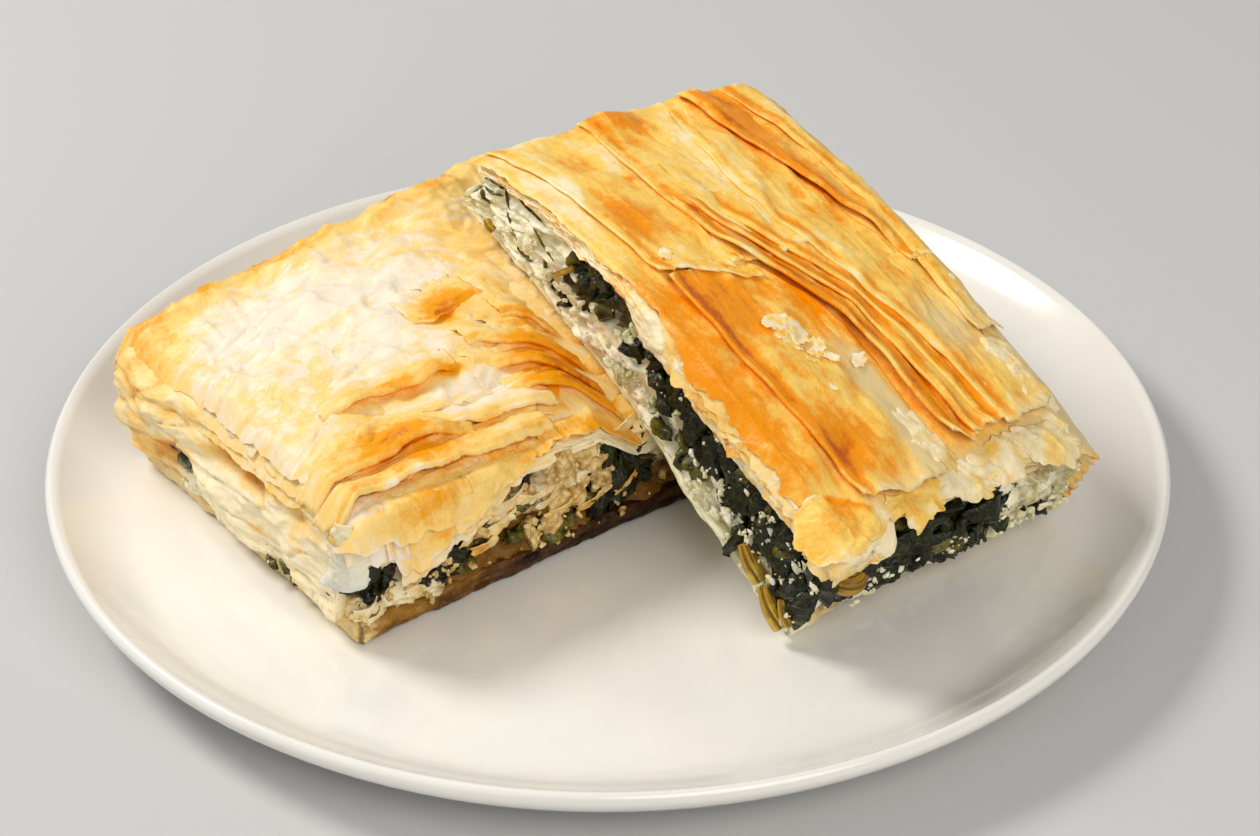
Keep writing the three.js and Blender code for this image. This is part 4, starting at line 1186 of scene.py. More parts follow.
makeCrumbs("leaningCheese", leaningSlice, crumbSpots([
    ("left", (0, 34), (6, 24), 46, 0.2, 0.9), ("left", (13, 19), (9, 20), 34, 0.2, 1.4),
    ("left", (4, 9), (10, 22), 24, 0.2, 1.0), ("left", (24, 30), (10, 22), 26, 0.2, 1.0),
    ("left", (24, 36), (3, 12), 14, 0.6, 1.8), ("left", (0, 34), (2.6, 8), 40, 0.4, 1.5),
    ("left", (66, 112), (3, 15), 40, 0.3, 2.6), ("near", (0, 46), (4, 22), 36, 0.2, 0.8),
    ("near", (12, 18), (6, 18), 20, 0.2, 1.0), ("near", (30, 36), (8, 18), 20, 0.2, 1.2),
    ("near", (44, 66), (4, 15), 22, 0.4, 1.4), ("far", (2, 64), (3, 11), 50, 0.5, 2.0)]),
    (freshCheese, *leaningFilling), 1300)
makeCrumbs("leaningMiddleCheese", leaningSlice, crumbSpots([("left", (42, 68), (3, 20), 46, 0.3, 2.4)]),
           (oliveCheese, *leaningFilling), 1380)
makeStalks("leaningStalks", leaningSlice, [
    ("left", (16.5, 8.6), (9.6, 5.4), 1.7, 0.5), ("left", (8.6, 6.4), (1.2, 2.6), 1.8, 0.7),
    ("left", (4.5, 8.4), (0.5, 5.0), 1.0, 0.5), ("near", (4, 20), (8.5, 21), 2.0, 1.2),
    ("left", (105.5, 5), (102.5, 4), 0.9, 0.3), ("left", (83, 10), (79, 17), 0.7, 0.1)],
    (leafStalk, *leaningFilling))
print("leaning slice's filling made")


# The bottom crusts, in `layers` ledges. `tone` gives their browning, on the leaning slice's near face partly
# painted shade, and `behind` how far the side is set back.
def makeBase(name, slice, layers, look, tone, behind):
    def levels(across, along, c):
        return mix(0.0, slice["bottomCrust"], c) + 0 * across

    def push(ring, c):
        layer = np.floor(c * layers)
        ledge = 0.3 * lumps(ring["run"] / 4.5, layer * 7.3, 0, 93)
        ledge = ledge + 0.16 * lumps(ring["run"] / 1.3, layer * 3.7, 0, 94)
        fine = 0.25 * rough(ring["run"] / 2.4, c * 3, 0, 95, 4)
        return 0.7 * lumps(ring["run"] / 9, 0.5, 0, 90) + ledge + fine - 0.7 * (2 * c - 1) ** 4 - behind(ring)

    def marks(ring, across, along, lift, c):
        toSide = np.minimum(across, slice["width"] - across)
        inside = rampUp(np.minimum(toSide, np.minimum(along, slice["length"] - along)), 2.5, 3.5)
        patches = 0.1 + 0.2 * lumps(across / 5, along / 5, 0, 99)
        return {"browned": mix(tone(ring, across, c), patches, inside),
                "place": mix(plainPlace(ring, lift), np.stack([across, along, lift], axis=1), inside[:, None])}

    piece = makeBlock(name, slice, 0.4, levels, push, marks, look, 0.6, 16, 1.2)
    makeActive(piece)
    bpy.ops.object.shade_smooth_by_angle(angle=math.radians(50))


def leaningBaseTone(ring, across, c):
    onNear = facing(ring, "near", 0.5) * rampUp(across, 3, 12)
    uneven = 0.2 * lumps(ring["run"] / 4, c * 3, 0, 97)
    # browner on the near face, where it is set back: partly browned crust, partly painted shade
    return uneven - 0.05 + 0.25 * facing(ring, "right", 0.5) + 0.5 * onNear


def flatBaseTone(ring, across, c):
    onLeft, onNear = facing(ring, "left", 0.5), facing(ring, "near", 0.5)
    dark = 0.12 + 0.3 * rampUp(across, 1, 8) + 0.55 * rampUp(across, 8, 46)
    dark = dark + 0.15 * lumps(ring["run"] / 6, c * 3, 0, 98)
    return onNear * dark + (1 - onNear) * (0.4 - 0.5 * onLeft) + 0.16 * (1 - c) * (1 - 0.6 * onLeft)


def leaningSetBack(ring):
    leftSide = 1.2 * facing(ring, "left") * rampUp(ring["along"], 30, 45)
    return leftSide + 1.4 * facing(ring, "near") * rampUp(ring["across"], 6, 16)


makeBase("leaningBaseCrust", leaningSlice, 4, (steamedPastry, *leaningBase), leaningBaseTone, leaningSetBack)
makeBase("flatBaseCrust", flatSlice, 6, (basePastry, *flatBase), flatBaseTone, lambda ring: 0.0)
print("bottom crusts made")

# the flat slice's top crust, and where it is browner or paler, with painted highlights and a painted shade among
# them: across, along, half widths, amount
flatCrustLook = (creamPastry, *flatCrust)
flatLayerLook = (layeredPastry, *flatCrust)
flatTones = [
    (34, 80, 18, 7, 0.5), (8, 79, 9, 7, 0.42), (16, 78, 2.5, 5, 0.26), (74, 80, 10, 8, 0.4),
    (61, 79, 1.4, 1.4, 0.7), (56, 76, 6, 6, 0.14), (46, 38, 6, 4.5, 0.7), (45, 33, 2.5, 4, 0.3),
    (28, 23, 10, 3, 0.36), (16, 26, 4, 3, 0.14), (14, 14, 11, 4, 0.5), (20, 11, 8, 3, 0.36),
    (16, 6, 14, 2.4, 0.34), (56, 20, 9, 6, 0.5), (56, 10, 9, 6, 0.55), (62, 8, 3, 8, 0.3),
    (20, 58, 14, 10, -0.36), (40, 50, 8, 8, -0.26), (34, 36, 9, 6, -0.2), (12, 53, 6, 1.5, 0.16),
    (8, 34, 7, 9, 0.06), (60, 35, 6, 10, 0.2), (66, 60, 8, 14, 0.2), (4, 66, 5, 10, 0.16),
    # (11, 2) and (16.5, 2) are painted highlights on the lip fold
    (36, 17, 6, 3, -0.1), (-1, 68, 3, 12, 0.3), (36, 7, 4, 1.6, 0.3), (11, 2, 2.2, 2.4, -0.4),
    # (36, 20) is painted shade in the gap at the near edge of the ridge fold
    (16.5, 2, 1.6, 2.4, -0.35), (23, 5, 7, 2, 0.25), (36, 20, 3, 1.2, 0.6), (28, 62, 3, 2, 0.14),
    (50, 58, 8, 2, 0.12), (34, 47, 9, 1.4, 0.08),
]


def flatSurface(across, along):
    near = np.maximum(-along, 0)
    left = np.maximum(3 - across, 0)
    far = np.maximum(along - flatSlice["length"] + 2, 0)
    drop = 1.15 * near ** 1.3 + 0.42 * left ** 1.6 + 0.3 * far ** 1.5
    uneven = 0.8 * wave(across / 4, along / 5, 7)
    return thickness(flatSlice, across, along) + uneven - drop + 2.0 * hump(along - 77, 5)


# a height kept below the leaning slice
def underLeaning(across, along, lift):
    return np.minimum(lift, roomUnder(across, along) - 0.3)


# the flat slice's surface, pressed down beside the leaning slice
def pressedSurface(across, along):
    natural, room = flatSurface(across, along), roomUnder(across, along) - 1.0
    return -1.5 * np.logaddexp(-natural / 1.5, -room / 1.5)


def clearOfLeaning(across, along, lift):
    return np.minimum(lift, roomUnder(across, along, 3.0) - 0.2)


# A whole sheet of the flat slice, `depth` under its surface.
def flatLayer(name, depth, reach, look, columns, rows, seed, plain, wrinkle):
    def place(a, b):
        side = 0.5 - 0.5 * np.cos(math.pi * a)
        along = mix(reach["near"], flatSlice["length"] + reach["far"], b)
        left = lineAt(reach["left"], along) + ragged(along, seed, reach.get("rag", 0.6))
        across = mix(left, flatSlice["width"] + 0.4, side)
        nearLine = reach["near"] + ragged(across, seed + 5, 2.0)
        along = mix(nearLine, flatSlice["length"] + reach["far"] + ragged(across, seed + 8, 1.0), b)
        lift = pressedSurface(across, along) - depth
        driftAcross = across + 5 * lumps(across / 17, along / 17, 0, seed + 20)
        driftAlong = along + 5 * lumps(across / 17, along / 17, 0, seed + 21)
        crossed = rough(driftAcross / 11, driftAlong / 4, 0, seed + 12, 3)
        creases = ridges(driftAcross / 12, driftAlong / 5, seed + 24, 9)
        creases = creases + ridges(driftAcross / 6, driftAlong / 11, seed + 27, 9)
        small = 0.8 * lumps(across / 3.4, along / 3.4, 0, seed + 16)
        lift = clearOfLeaning(across, along, lift + wrinkle * (crossed + 1.1 * creases + small))
        return pointIn(flatSlice, across, along, lift), {
            "browned": spotsAt(flatTones, across, along, plain), "place": patternPlace(along, across, seed)}
    return makeSheet(name, columns, rows, place, sheetThick["sheet"], look)


flatLayer("flatTopSheet", 0.0,
          {"near": 13, "far": 3.2, "left": [(0, 1.5), (20, 0.2), (50, -0.2), (62, -0.8), (80, -2)]},
          flatCrustLook, 160, 165, 1500, 0.17, 0.68)
flatLayer("flatUnderSheet1", 1.1,
          {"near": 5, "far": 2.4, "left": [(0, 0.5), (20, -0.8), (60, -1.2), (80, -2.2)]},
          flatCrustLook, 110, 120, 1560, 0.24, 0.4)
flatLayer("flatUnderSheet2", 2.4,
          {"near": 1.0, "far": 1.6, "left": [(0, 0.2), (20, -1.2), (60, -1.6), (80, -2.4)]},
          flatLayerLook, 90, 100, 1620, 0.3, 0.35)


# A fold that lies across the flat slice. `line` is its near edge, where it is rolled under, and `width` reaches
# back.
def flatFold(name, fold, seed):
    start, end = fold["start"], fold["end"]

    def place(a, b):
        back = overTop(a)
        across = mix(start + ragged(back * 9, seed, 1.6), end + ragged(back * 9, seed + 4, 2.2), b)
        beyond = back * lineAt(fold["width"], across)
        line = lineAt(fold["line"], across) + ragged(across, seed + 8, 1.3)
        base = pressedSurface(across, line + beyond) + 0.15
        ends = rampUp(across, start, start + 7) * (1 - rampUp(across, end - 7, end))
        rise = fold["rise"] * (1 + 0.25 * lumps(across / 8, 0.5, 0, seed + 11)) * (0.25 + 0.75 * ends)
        top = base + rise * (1 - rampUp(back, fold.get("crest", 0.1), 1.0))
        drift = line + beyond + 1.6 * lumps(across / 12, back * 2, 0, seed + 14)
        waves = 1.3 * rough(across / 20, drift / 3.4, 0, seed + 15, 3)
        waves = waves + 1.2 * ridges(across / 24, drift / 3, seed + 19, 8)
        top = top + fold["wrinkle"] * waves * rampUp(back, 0, 0.15)
        top = top + 0.35 * lumps(across / 5, beyond / 4, 0, seed + 17)
        along, lift = rolledSection(a, line, 0.6 * fold["roll"], 2.5, beyond, top, base + rise, base - 0.3)
        lift = clearOfLeaning(across, along, lift)
        browned = spotsAt(flatTones, across, along, fold["tone"]) + 0.2 * hump(beyond - 0.8, 1.0)
        return pointIn(flatSlice, across, along, lift), {
            "browned": browned, "place": patternPlace(along, across, seed)}
    rows = int((end - start) / 0.5)
    return makeSheet(name, fold.get("columns", 40), rows, place, sheetThick["fold"], flatCrustLook)


flatFolds = {
    "flatRidgeFold": {
        "line": [(12, 24), (20, 22.6), (30, 20.5), (38, 20.5)], "width": [(12, 6), (25, 8), (38, 6)],
        "start": 11, "end": 38.5, "rise": 2.7, "roll": 0.7, "wrinkle": 0.25, "tone": 0.16, "crest": 0.0},
    "flatSpotFold": {
        "line": [(38, 36), (45, 34.5), (54, 37)], "width": [(38, 8), (54, 9)],
        "start": 38.5, "end": 54, "rise": 0.5, "roll": 0.25, "wrinkle": 0.2, "tone": 0.26, "crest": 0.0},
    "flatFanFar": {
        "line": [(54, 30), (64, 24), (76, 16)], "width": [(54, 6), (76, 8)],
        "start": 54, "end": 80, "rise": 1.5, "roll": 0.5, "wrinkle": 0.35, "tone": 0.3},
    "flatFanBack": {
        "line": [(43, 25), (52, 21), (66, 14.5), (76, 9)], "width": [(43, 6), (66, 8)],
        "start": 43, "end": 78, "rise": 1.8, "roll": 0.5, "wrinkle": 0.35, "tone": 0.24},
    "flatFanMiddle": {
        "line": [(40, 19.5), (52, 14.5), (66, 8)], "width": [(40, 6), (66, 7)],
        "start": 41, "end": 74, "rise": 2.0, "roll": 0.55, "wrinkle": 0.35, "tone": 0.22},
    "flatFanFront": {
        "line": [(43, 11), (54, 8), (66, 3)], "width": [(43, 5), (66, 7)],
        "start": 43, "end": 74, "rise": 2.0, "roll": 0.55, "wrinkle": 0.3, "tone": 0.24},
    "flatPaleFold": {
        "line": [(25, 9), (36, 8), (48, 5.5)], "width": [(25, 6), (48, 8)],
        "start": 25, "end": 50, "rise": 1.9, "roll": 0.6, "wrinkle": 0.3, "tone": 0.08},
    "flatFrontFold": {
        "line": [(-1, 8.6), (6, 8.8), (14, 9), (22, 8.4), (31, 6.5)],
        "width": [(-1, 6), (6, 12), (15, 13), (24, 8), (31, 5)],
        "start": -1.6, "end": 31, "rise": 2.9, "roll": 1.0, "wrinkle": 0.4, "tone": 0.2, "columns": 60},
    "flatLipFold": {
        "line": [(-2, 1.6), (8, 2.6), (20, 2.4), (34, 0.8), (46, 1.6)], "width": [(-2, 7), (10, 8), (46, 7)],
        "start": -2.2, "end": 45, "rise": 2.2, "roll": 0.8, "wrinkle": 0.4, "tone": 0.26, "crest": 0.0,
        "columns": 56},
}
for number, (name, fold) in enumerate(flatFolds.items()):
    flatFold(name, fold, 2000 + 40 * number)


# A sheet that bends over the near edge and hangs down the cut face, to the ragged low edge `low`, which curls
# out.
def flatHanging(name, sheet, seed, look):
    start, end = sheet["from"]
    bend = 2.8

    def place(a, b):
        across = mix(start, end, a) + ragged(b * 6, seed, 0.8) * (1 - 2 * a)
        top = flatSurface(across, 0 * across + 2.0) - 0.6
        fall = top - (lineAt(sheet["low"], across) + ragged(across, seed + 3, 2.8))
        distance = mix(-sheet.get("back", 3.0), fall + 1.2, b)
        turn = np.clip(distance / bend, 0, math.pi / 2)
        drop = bend * (1 - np.cos(turn)) + np.maximum(distance - bend * math.pi / 2, 0)
        hang = bend * np.sin(turn) + np.minimum(distance, 0) - bend + sheet["out"]
        flutter = 0.9 * rough(across / 4.5, drop / 11, 0, seed + 6, 3) * rampUp(distance, 0, 6)
        ripple = 0.5 * ridges(across / 9 + drop / 14, drop / 3.2, seed + 8, 5) * rampUp(distance, 1, 5)
        curl = sheet.get("curl", 0.9) * rampUp(b, 0.72, 1.0) * (0.6 + 0.7 * lumps(across / 5, 0.5, 0, seed + 10))
        along = -(hang + flutter + ripple + curl)
        lift = top - drop + 0.5 * lumps(across / 3, distance / 3, 0, seed + 9)
        lift = np.minimum(lift, flatSurface(across, np.maximum(along, 0)) - 0.2)
        lift = underLeaning(across, along, lift)
        browned = sheet["tone"] + 0.16 * lumps(across / 6, distance / 5, 0, seed + 12)
        browned = browned + 0.2 * hump(distance - 2, 3)
        browned = browned - 0.12 * rampUp(b, 0.9, 1.0) - 0.26 * (1 - rampUp(across, 3, 12))
        clear = sheet.get("clear", 0.0) + 0.1 * rampUp(b, 0.5, 1.0)
        return pointIn(flatSlice, across, along, lift), {
            "browned": browned, "clear": clear, "place": patternPlace(across, distance, seed)}
    return makeSheet(name, int((end - start) / 0.45), 60, place, sheetThick["hanging"], look)


flatSheets = [
    {"from": (-1.5, 40), "low": [(-1.5, 17), (10, 16), (20, 15.5), (28, 18), (35, 23), (40, 27)],
     "out": 0.2, "tone": 0.36, "back": 2, "curl": 0.2},
    {"from": (19, 40), "low": [(19, 16), (26, 18), (33, 21.5), (37, 26), (40, 28)], "out": 0.9, "tone": 0.34},
    {"from": (9, 30), "low": [(9, 12), (11, 10), (13, 9.5), (16, 12), (22, 15), (30, 17)],
     "out": 1.2, "tone": 0.34},
    {"from": (27, 42), "low": [(27, 19), (32, 22), (36, 25), (42, 28)], "out": 1.8, "tone": 0.3, "clear": 0.1},
    {"from": (-2, 11), "low": [(-2, 19.5), (3, 18.5), (7, 17.5), (10, 15)],
     "out": 1.6, "tone": 0.26, "clear": 0.2},
    {"from": (6, 21), "low": [(6, 18), (9.5, 16), (11, 11), (13, 11.5), (16, 15), (21, 18)],
     "out": 2.2, "tone": 0.36},
    {"from": (17, 36), "low": [(17, 19), (22, 17.5), (26, 19), (30, 23), (36, 24)], "out": 2.6, "tone": 0.32},
    {"from": (-2.5, 24), "low": [(-2.5, 24), (4, 22), (12, 20.5), (18, 21), (24, 23)], "out": 3.0, "tone": 0.38},
    {"from": (22, 46), "low": [(22, 23.5), (30, 25), (40, 28), (46, 28.5)], "out": 2.8, "tone": 0.36},
    {"from": (42, 64), "low": [(42, 28), (50, 27.5), (58, 26), (64, 25)], "out": 1.6, "tone": 0.44},
]
for number, sheet in enumerate(flatSheets):
    flatHanging(f"flatHanging{number + 1}", sheet, 2400 + 24 * number, flatCrustLook if number else flatLayerLook)


# Curled scraps of pastry in the near cut face: run, lift, length, width, tilt, bow and tone.
def flatCurls():
    scraps = [
        (30, 20.5, 10, 5, 0.5, 2.2, 0.2), (34.5, 18.5, 9, 4, 0.2, 2.0, 0.16), (27, 17, 8, 4, 0.7, 1.8, 0.24),
        (38.5, 17.2, 7, 3.4, -0.3, 1.8, 0.2), (33, 14.2, 8, 3, 0.3, 1.4, 0.3), (24.5, 13.5, 6, 3, 0.9, 1.4, 0.3),
        (43.5, 15, 6, 3, 0.5, 1.6, 0.2), (29, 10.5, 6, 2.4, 0.2, 1.0, 0.45), (47, 11.5, 8, 2.6, 0.3, 1.2, 0.36),
        (54, 10.5, 7, 2.4, 0.4, 1.2, 0.4), (62, 11, 7, 2, 0.5, 1.2, 0.5), (12.5, 12, 5, 3, 1.3, 1.2, 0.3),
        (44, 25.5, 7, 3, 0.4, 1.6, 0.3), (60, 24, 9, 3, 0.3, 1.6, 0.34), (2.5, 8.5, 6, 4, 0.2, 2.2, 0.02),
        (4.5, 6, 5, 2.6, 0.5, 1.6, 0.04)]
    for number, (run0, lift0, length, width, tilted, bow, tone) in enumerate(scraps):
        seed = 3900 + 13 * number

        def place(a, b):
            u = (2 * a - 1) * (1 + 0.16 * lumps(b * 4, 0.5, 0, seed))
            v = (2 * b - 1) * (1 + 0.3 * rough(a * 4, 0.5, 0, seed + 3, 3)) * (1 - 0.35 * u * u)
            along, up = 0.5 * length * u, 0.5 * width * v
            run = run0 + along * math.cos(tilted) - up * math.sin(tilted)
            lift = lift0 + along * math.sin(tilted) + up * math.cos(tilted) - 0.12 * bow * v * v * width
            out = bow * (1 - u * u) * (0.55 + 0.45 * v) + 0.35 * rough(along / 2, up / 2, 0, seed + 6, 3) - 0.5
            marks = {"browned": tone + 0.2 * lumps(along / 2, up / 2, 0, seed + 9) + 0 * a, "clear": 0.15 + 0 * a,
                     "place": patternPlace(along, up, seed)}
            return onFace(flatSlice, "near", run, np.clip(lift, 0.4, None), out), marks
        makeSheet(f"flatCurl{number + 1}", 22, 14, place, sheetThick["curl"], flatLayerLook)


flatCurls()


# The glassy sheet that wraps the near left corner.
def flatCornerSheet():
    def place(a, b):
        distance = mix(-2.4 - 3.4 * b, 1.0 + 1.6 * b, a) + ragged(b * 9, 2750, 1.2)
        out = 2.0 + 1.1 * rough(distance / 3, b * 4, 0, 2755, 4) - 0.9 * hump(distance, 2.2)
        roundCorner = rampUp(distance, -1.5, 1.5)
        across = mix(-out, np.clip(distance, 0, None), roundCorner)
        along = mix(np.clip(-distance, 0, None), -out, roundCorner)
        lowest = lineAt([(-8, 13), (-5, 11.5), (-1, 12), (2, 14), (7, 18.5)], distance)
        lift = mix(27.5, lowest + ragged(distance, 2760, 1.4), b)
        return pointIn(flatSlice, across, along, lift), {
            "browned": 0.12 + 0.3 * (1 - b), "clear": 0.45 * b, "place": np.stack([distance, lift, out], axis=-1)}
    return makeSheet("flatCornerSheet", 40, 44, place, sheetThick["corner"], (clearPastry, *flatCrust))


flatCornerSheet()


# Torn remains of the uppermost sheet: across, along, half widths, height above, tone.
def flatPatches():
    for number, (across0, along0, wide, long, above, tone) in enumerate([
            (9, 58, 11, 8, 0.1, 0.2), (58, 46, 13, 10, 0.1, 0.24), (62, 30, 12, 6, 0.3, 0.32),
            (20, 25, 10, 5, 0.3, 0.26), (11, 36, 11, 9, 0.1, 0.24)]):
        seed = 2800 + 20 * number

        def place(a, b):
            angle, reach = roundGrid(a, b)
            rim = 1 + 0.24 * rimRough(angle, 2.4, seed, 3)
            rim = rim + 0.07 * lumps(9 * np.cos(angle), 9 * np.sin(angle), 0.5, seed + 5)
            across = np.maximum(across0 + wide * reach * rim * np.cos(angle), -1.0)
            along = along0 + long * reach * rim * np.sin(angle)
            lift = pressedSurface(across, along) + above + 0.35 * rough(across / 5, along / 4, 0, seed + 7, 3)
            lift = clearOfLeaning(across, along, lift - 0.5 * rampUp(reach, 0.7, 1.0))
            browned = spotsAt(flatTones, across, along, tone) - 0.1 * rampUp(reach, 0.85, 1.0)
            return pointIn(flatSlice, across, along, lift), {
                "browned": browned, "place": patternPlace(along, across, seed)}
        makeSheet(f"flatPatch{number + 1}", 60, 60, place, sheetThick["patch"], flatCrustLook)


flatPatches()
print("flat slice's sheets made")


def makeFlatCrustBody():
    slice = flatSlice

    def levels(across, along, c):
        onLeft = 1 - rampUp(across, 1.5, 4)
        top = flatSurface(np.clip(across, 0.5, slice["width"]), np.clip(along, 1, slice["length"]))
        top = top - 1.6 + 1.0 * onLeft
        top = underLeaning(across, along, top)
        bottom = top - 4.2
        onFar = rampUp(along, slice["length"] - 4, slice["length"] - 2)
        bottom = mix(bottom, 4.9 + 0.6 * wave(along / 5, 1, 4), onLeft * rampUp(along, 1, 4))
        bottom = mix(bottom, slice["bottomCrust"] + 0.2, onFar)
        return mix(bottom, top, c)

    def push(ring, c):
        run, high = ring["run"], c * patternHigh
        onLeft = facing(ring, "left")
        bulge = onLeft * 3.2 * np.sin(math.pi * c) * rampUp(ring["along"], 20, 75)
        slant = ring["along"] + 0.8 * high
        pockets = 4.8 * hump(slant - 64, 7.5) * hump(high - 5.8, 4.2)
        pockets = pockets + 5.2 * hump(slant - 49, 9) * hump(high - 15.6, 3.8)
        pockets = pockets + 1.6 * hump(ring["along"] - 20, 5) * hump(high - 16, 4)
        puffs = 1.0 * rough(run / 10, high / 4, 0, 61, 4) + 0.6 * ridges(run / 12, high / 3, 66, 6)
        puffs = puffs - 0.6 * onLeft * ridges(slant / 15, high / 2.3, 69, 9)
        shoulder = 2.0 * rampUp(c, 0.86, 1.0) ** 2
        return puffs + bulge + 0.8 + onLeft * (1.3 - pockets - shoulder)

    def marks(ring, across, along, lift, c):
        onLeft = facing(ring, "left")
        high = c * patternHigh
        slant = ring["along"] + 0.8 * high
        tone = -0.06 + 0.3 * rampUp(high, 13, 21) + 0.34 * rampUp(ring["along"], 56, 74) * onLeft
        tone = tone + 0.16 * lumps(ring["run"] / 6, high / 5, 0, 68) + 0.3 * facing(ring, "far", 0.5)
        # the pockets (66.5, 6.4) and (49, 16) and the dent (18, 15) are browner: painted shade in these hollows
        pockets = spotsAt([(66.5, 6.4, 5.5, 4, 1.3), (49, 16, 9, 3.2, 1.1)], slant, high, 0.0)
        pockets = pockets + spotsAt([(59, 17, 2, 1.5, 0.4), (18, 15, 6, 5, 0.3), (46, 3.5, 10, 4, -0.3)],
                                    ring["along"], high, 0.0)
        pockets = pockets + 0.3 * ridges(slant / 15, high / 2.3, 69, 9)
        return {"browned": tone + onLeft * pockets, "place": plainPlace(ring, lift)}

    makeBlock("flatCrustBody", slice, 0.6, levels, push, marks, flatLayerLook, 0.5, 56, 2.5)


makeFlatCrustBody()

flatNearGreens = [(4, 12, 5, 4.5, 0.9), (19, 10, 6, 4.5, 0.75), (40, 23, 3, 3, 0.9), (28, 13, 2.4, 2, 0.8),
                  (61, 14, 7, 8, 1.3), (37, 15, 2, 1.2, 0.7)]
flatLeftGreens = [(25, 5, 5, 1.4, 0.6), (54, 9, 3, 2, 0.5), (5, 11, 2, 1.2, 0.5)]


def makeFlatFilling():
    slice = flatSlice

    def levels(across, along, c):
        top = underLeaning(across, along, thickness(slice, across, along)) - slice["topCrust"] - 0.2
        return mix(slice["bottomCrust"] + 0.1, top, c)

    def push(ring, c):
        run, high = ring["run"], 20 * c
        onNear = facing(ring, "near")
        inner = 3.4 * facing(ring, "left") * rampUp(high, 4.5, 6.5) + 2.4 * facing(ring, "far")
        hollow = onNear * 3 * hump(ring["across"] - 61, 6) * hump(high - 10, 6)
        relief = 1.3 * rough(run / 5, high / 2.6, 0, 71, 5) + 0.5 * np.abs(lumps(run / 1.6, high / 1.6, 0, 75))
        relief = relief - 1.0 * ridges(run / 8, high / 2.2, 78, 8)
        lowBand = 1.6 * hump(high - 4, 4) + 2.4 * hump(ring["across"] - 40, 3) * hump(high - 19, 3)
        relief = relief - onNear * rampUp(ring["across"], 20, 30) * lowBand
        return relief - inner - hollow

    def marks(ring, across, along, lift, c):
        greens = greensOver(ring, c, spotsAt(flatLeftGreens, along, lift, -0.1),
                            spotsAt(flatNearGreens, across, lift, 0.12), 77)
        lowPaste = (1 - rampUp(lift, 9, 15)) * rampUp(across, 14, 26)
        murk = facing(ring, "near") * (0.15 + 1.0 * lowPaste + 0.3 * hump(lift - 19, 4))
        return {"greens": greens + 0 * lift, "murk": murk + 0 * lift}

    look = (flatFillingLook, *flatFilling)
    makeBlock("flatFillingBody", slice, 1.0, levels, push, marks, look, 0.48, 50)


makeFlatFilling()
flatLeafSpots = leafSpots([
    ("near", (1, 9), (9, 16), 6, 9, (0.2, 1.8)), ("near", (14, 26), (7, 14), 8, 7, (-0.4, 0.9)),
    ("near", (27, 40), (12, 22), 4, 4, (0, 3)), ("near", (55, 68), (8, 20), 12, 9, (0, 3)),
    ("near", 8.5, 14, 8, 2.5, 1.55), ("right", (4, 76), (6, 20), 26, 8, (0, 3))])
makeLeaves("flatLeftLeaves", flatSlice, [
    ("left", 23, 5, 4.5, 1.6, 0.4), ("left", 27.5, 4.4, 4, 1.4, 0.1), ("left", 30.5, 6, 3, 1.2, -0.3),
    ("left", 20, 3.8, 3, 1.2, 0.2), ("left", 35, 4.4, 3.4, 1.4, 0.2), ("left", 44, 4.2, 3, 1.2, 0.0),
    ("left", 7, 9.5, 3, 1.6, 1.0)], (oliveLeaf, *flatFilling), 3200, 0.4, 1.6)
makeLeaves("flatPocketLeaves", flatSlice, [
    ("left", 58, 9.6, 6, 2.6, -0.5), ("left", 61.5, 8.2, 4.4, 1.8, -0.3), ("left", 55.5, 11, 3.4, 1.6, 0.2),
    ("left", 59, 12, 5, 1.6, -0.6), ("left", 63, 10.5, 4, 2, -0.9)], (oliveLeaf, *flatFilling), 3250, 0.4, 1.1)
makeLeaves("flatLeaves", flatSlice, flatLeafSpots, (wetLeaf, *flatFilling), 3100, 0.9)
makeLeaves("flatOliveLeaves", flatSlice, leafSpots([
    ("near", (14, 60), (5, 12), 7, 7, (-0.3, 0.5)), ("near", (26, 44), (14, 22), 2, 6, (0, 1.0))]),
    (oliveLeaf, *flatFilling), 3300, 0.7)
flatCrumbSpots = crumbSpots([
    ("near", (9, 24), (4.5, 12), 26, 0.3, 2.2), ("near", (24, 46), (5, 22), 26, 0.3, 2.6),
    ("near", (44, 58), (11, 25), 30, 0.6, 3.2), ("near", (40, 72), (4.4, 9), 12, 0.3, 1.8),
    ("near", (0, 72), (3.8, 5.4), 8, 0.25, 0.8), ("near", (0, 8), (5, 12), 12, 0.4, 1.4),
    ("left", (2, 64), (4.4, 8), 22, 0.3, 2.2), ("right", (3, 76), (5, 20), 70, 0.5, 2.4),
    ("near", 49.5, 17.5, 6.4), ("near", 46, 21.5, 5.0), ("near", 53, 21, 4.4), ("near", 51, 13.5, 3.6)])
flatNearCrumbs = [spot for spot in flatCrumbSpots if spot[0] != "left"]
flatLeftCrumbs = [spot for spot in flatCrumbSpots if spot[0] == "left"]
makeCrumbs("flatNearCheese", flatSlice, flatNearCrumbs, (bakedCheese, *flatFilling), 3500)
makeCrumbs("flatLeftCheese", flatSlice, flatLeftCrumbs, (freshCheese, *flatFilling), 3700, 1.6)
print("flat slice's filling made")


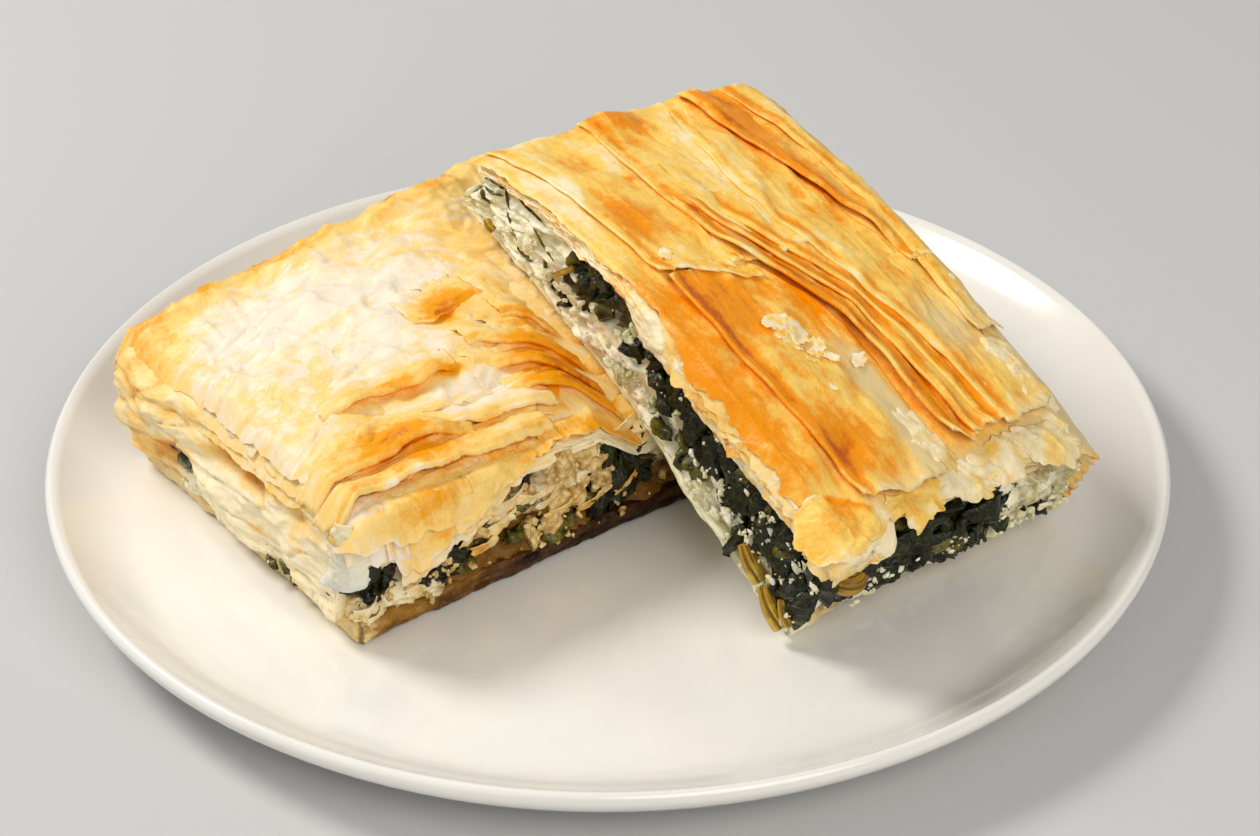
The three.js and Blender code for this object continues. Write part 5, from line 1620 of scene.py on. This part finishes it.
# floor, light and camera; the camera's target and distance are in millimetres
studio = {"floorGrey": 196, "floorRoughness": 0.9, "worldTint": (1.0, 0.99, 0.97, 1), "worldStrength": 0.36}


def makeFloor():
    deselectAll()
    bpy.ops.mesh.primitive_plane_add(size=6, location=(0, 0, 0))
    floor = bpy.context.object
    floor.name = "studioFloor"
    paleFloor = newMaterial("paleFloor", Roughness=studio["floorRoughness"],
                            Base_Color=colour(*[studio["floorGrey"]] * 3))[0]
    floor.data.materials.append(paleFloor)


def addLight(name, place, target, size, power, tint):
    light = bpy.data.lights.new(name, "AREA")
    light.shape = "DISK"
    light.size = size
    light.energy = power
    light.color = tint
    lamp = bpy.data.objects.new(name, light)
    bpy.context.scene.collection.objects.link(lamp)
    lamp.location = place
    lamp.rotation_euler = (Vector(target) - Vector(place)).to_track_quat("-Z", "Y").to_euler()


makeFloor()
addLight("keyLight", (-0.75, 0.3, 0.85), (0, 0, 0.03), 0.4, 9.0, (1.0, 0.97, 0.93))
addLight("fillLight", (0.45, -0.95, 0.8), (0, 0, 0.03), 1.0, 9.0, (1.0, 0.97, 0.92))
world = bpy.data.worlds.new("studio")
world.use_nodes = True
world.node_tree.nodes["Background"].inputs["Color"].default_value = studio["worldTint"]
world.node_tree.nodes["Background"].inputs["Strength"].default_value = studio["worldStrength"]
bpy.context.scene.world = world

view = {"target": (4.3, 16.9, 7.0), "elevation": 33.5, "distance": 611, "lens": 85.71}
tilt = math.radians(view["elevation"])
camera = bpy.data.objects.new("viewCamera", bpy.data.cameras.new("viewCamera"))
bpy.context.scene.collection.objects.link(camera)
camera.data.lens = view["lens"]
camera.data.sensor_width = 36
camera.data.clip_end = 20
targetX, targetY, targetZ = view["target"]
camera.location = [v * millimetre for v in (targetX, targetY - view["distance"] * math.cos(tilt),
                                            targetZ + view["distance"] * math.sin(tilt))]
camera.rotation_euler = (math.pi / 2 - tilt, 0, 0)
bpy.context.scene.camera = camera
bpy.context.scene.view_settings.view_transform = "Standard"
print("stage made")
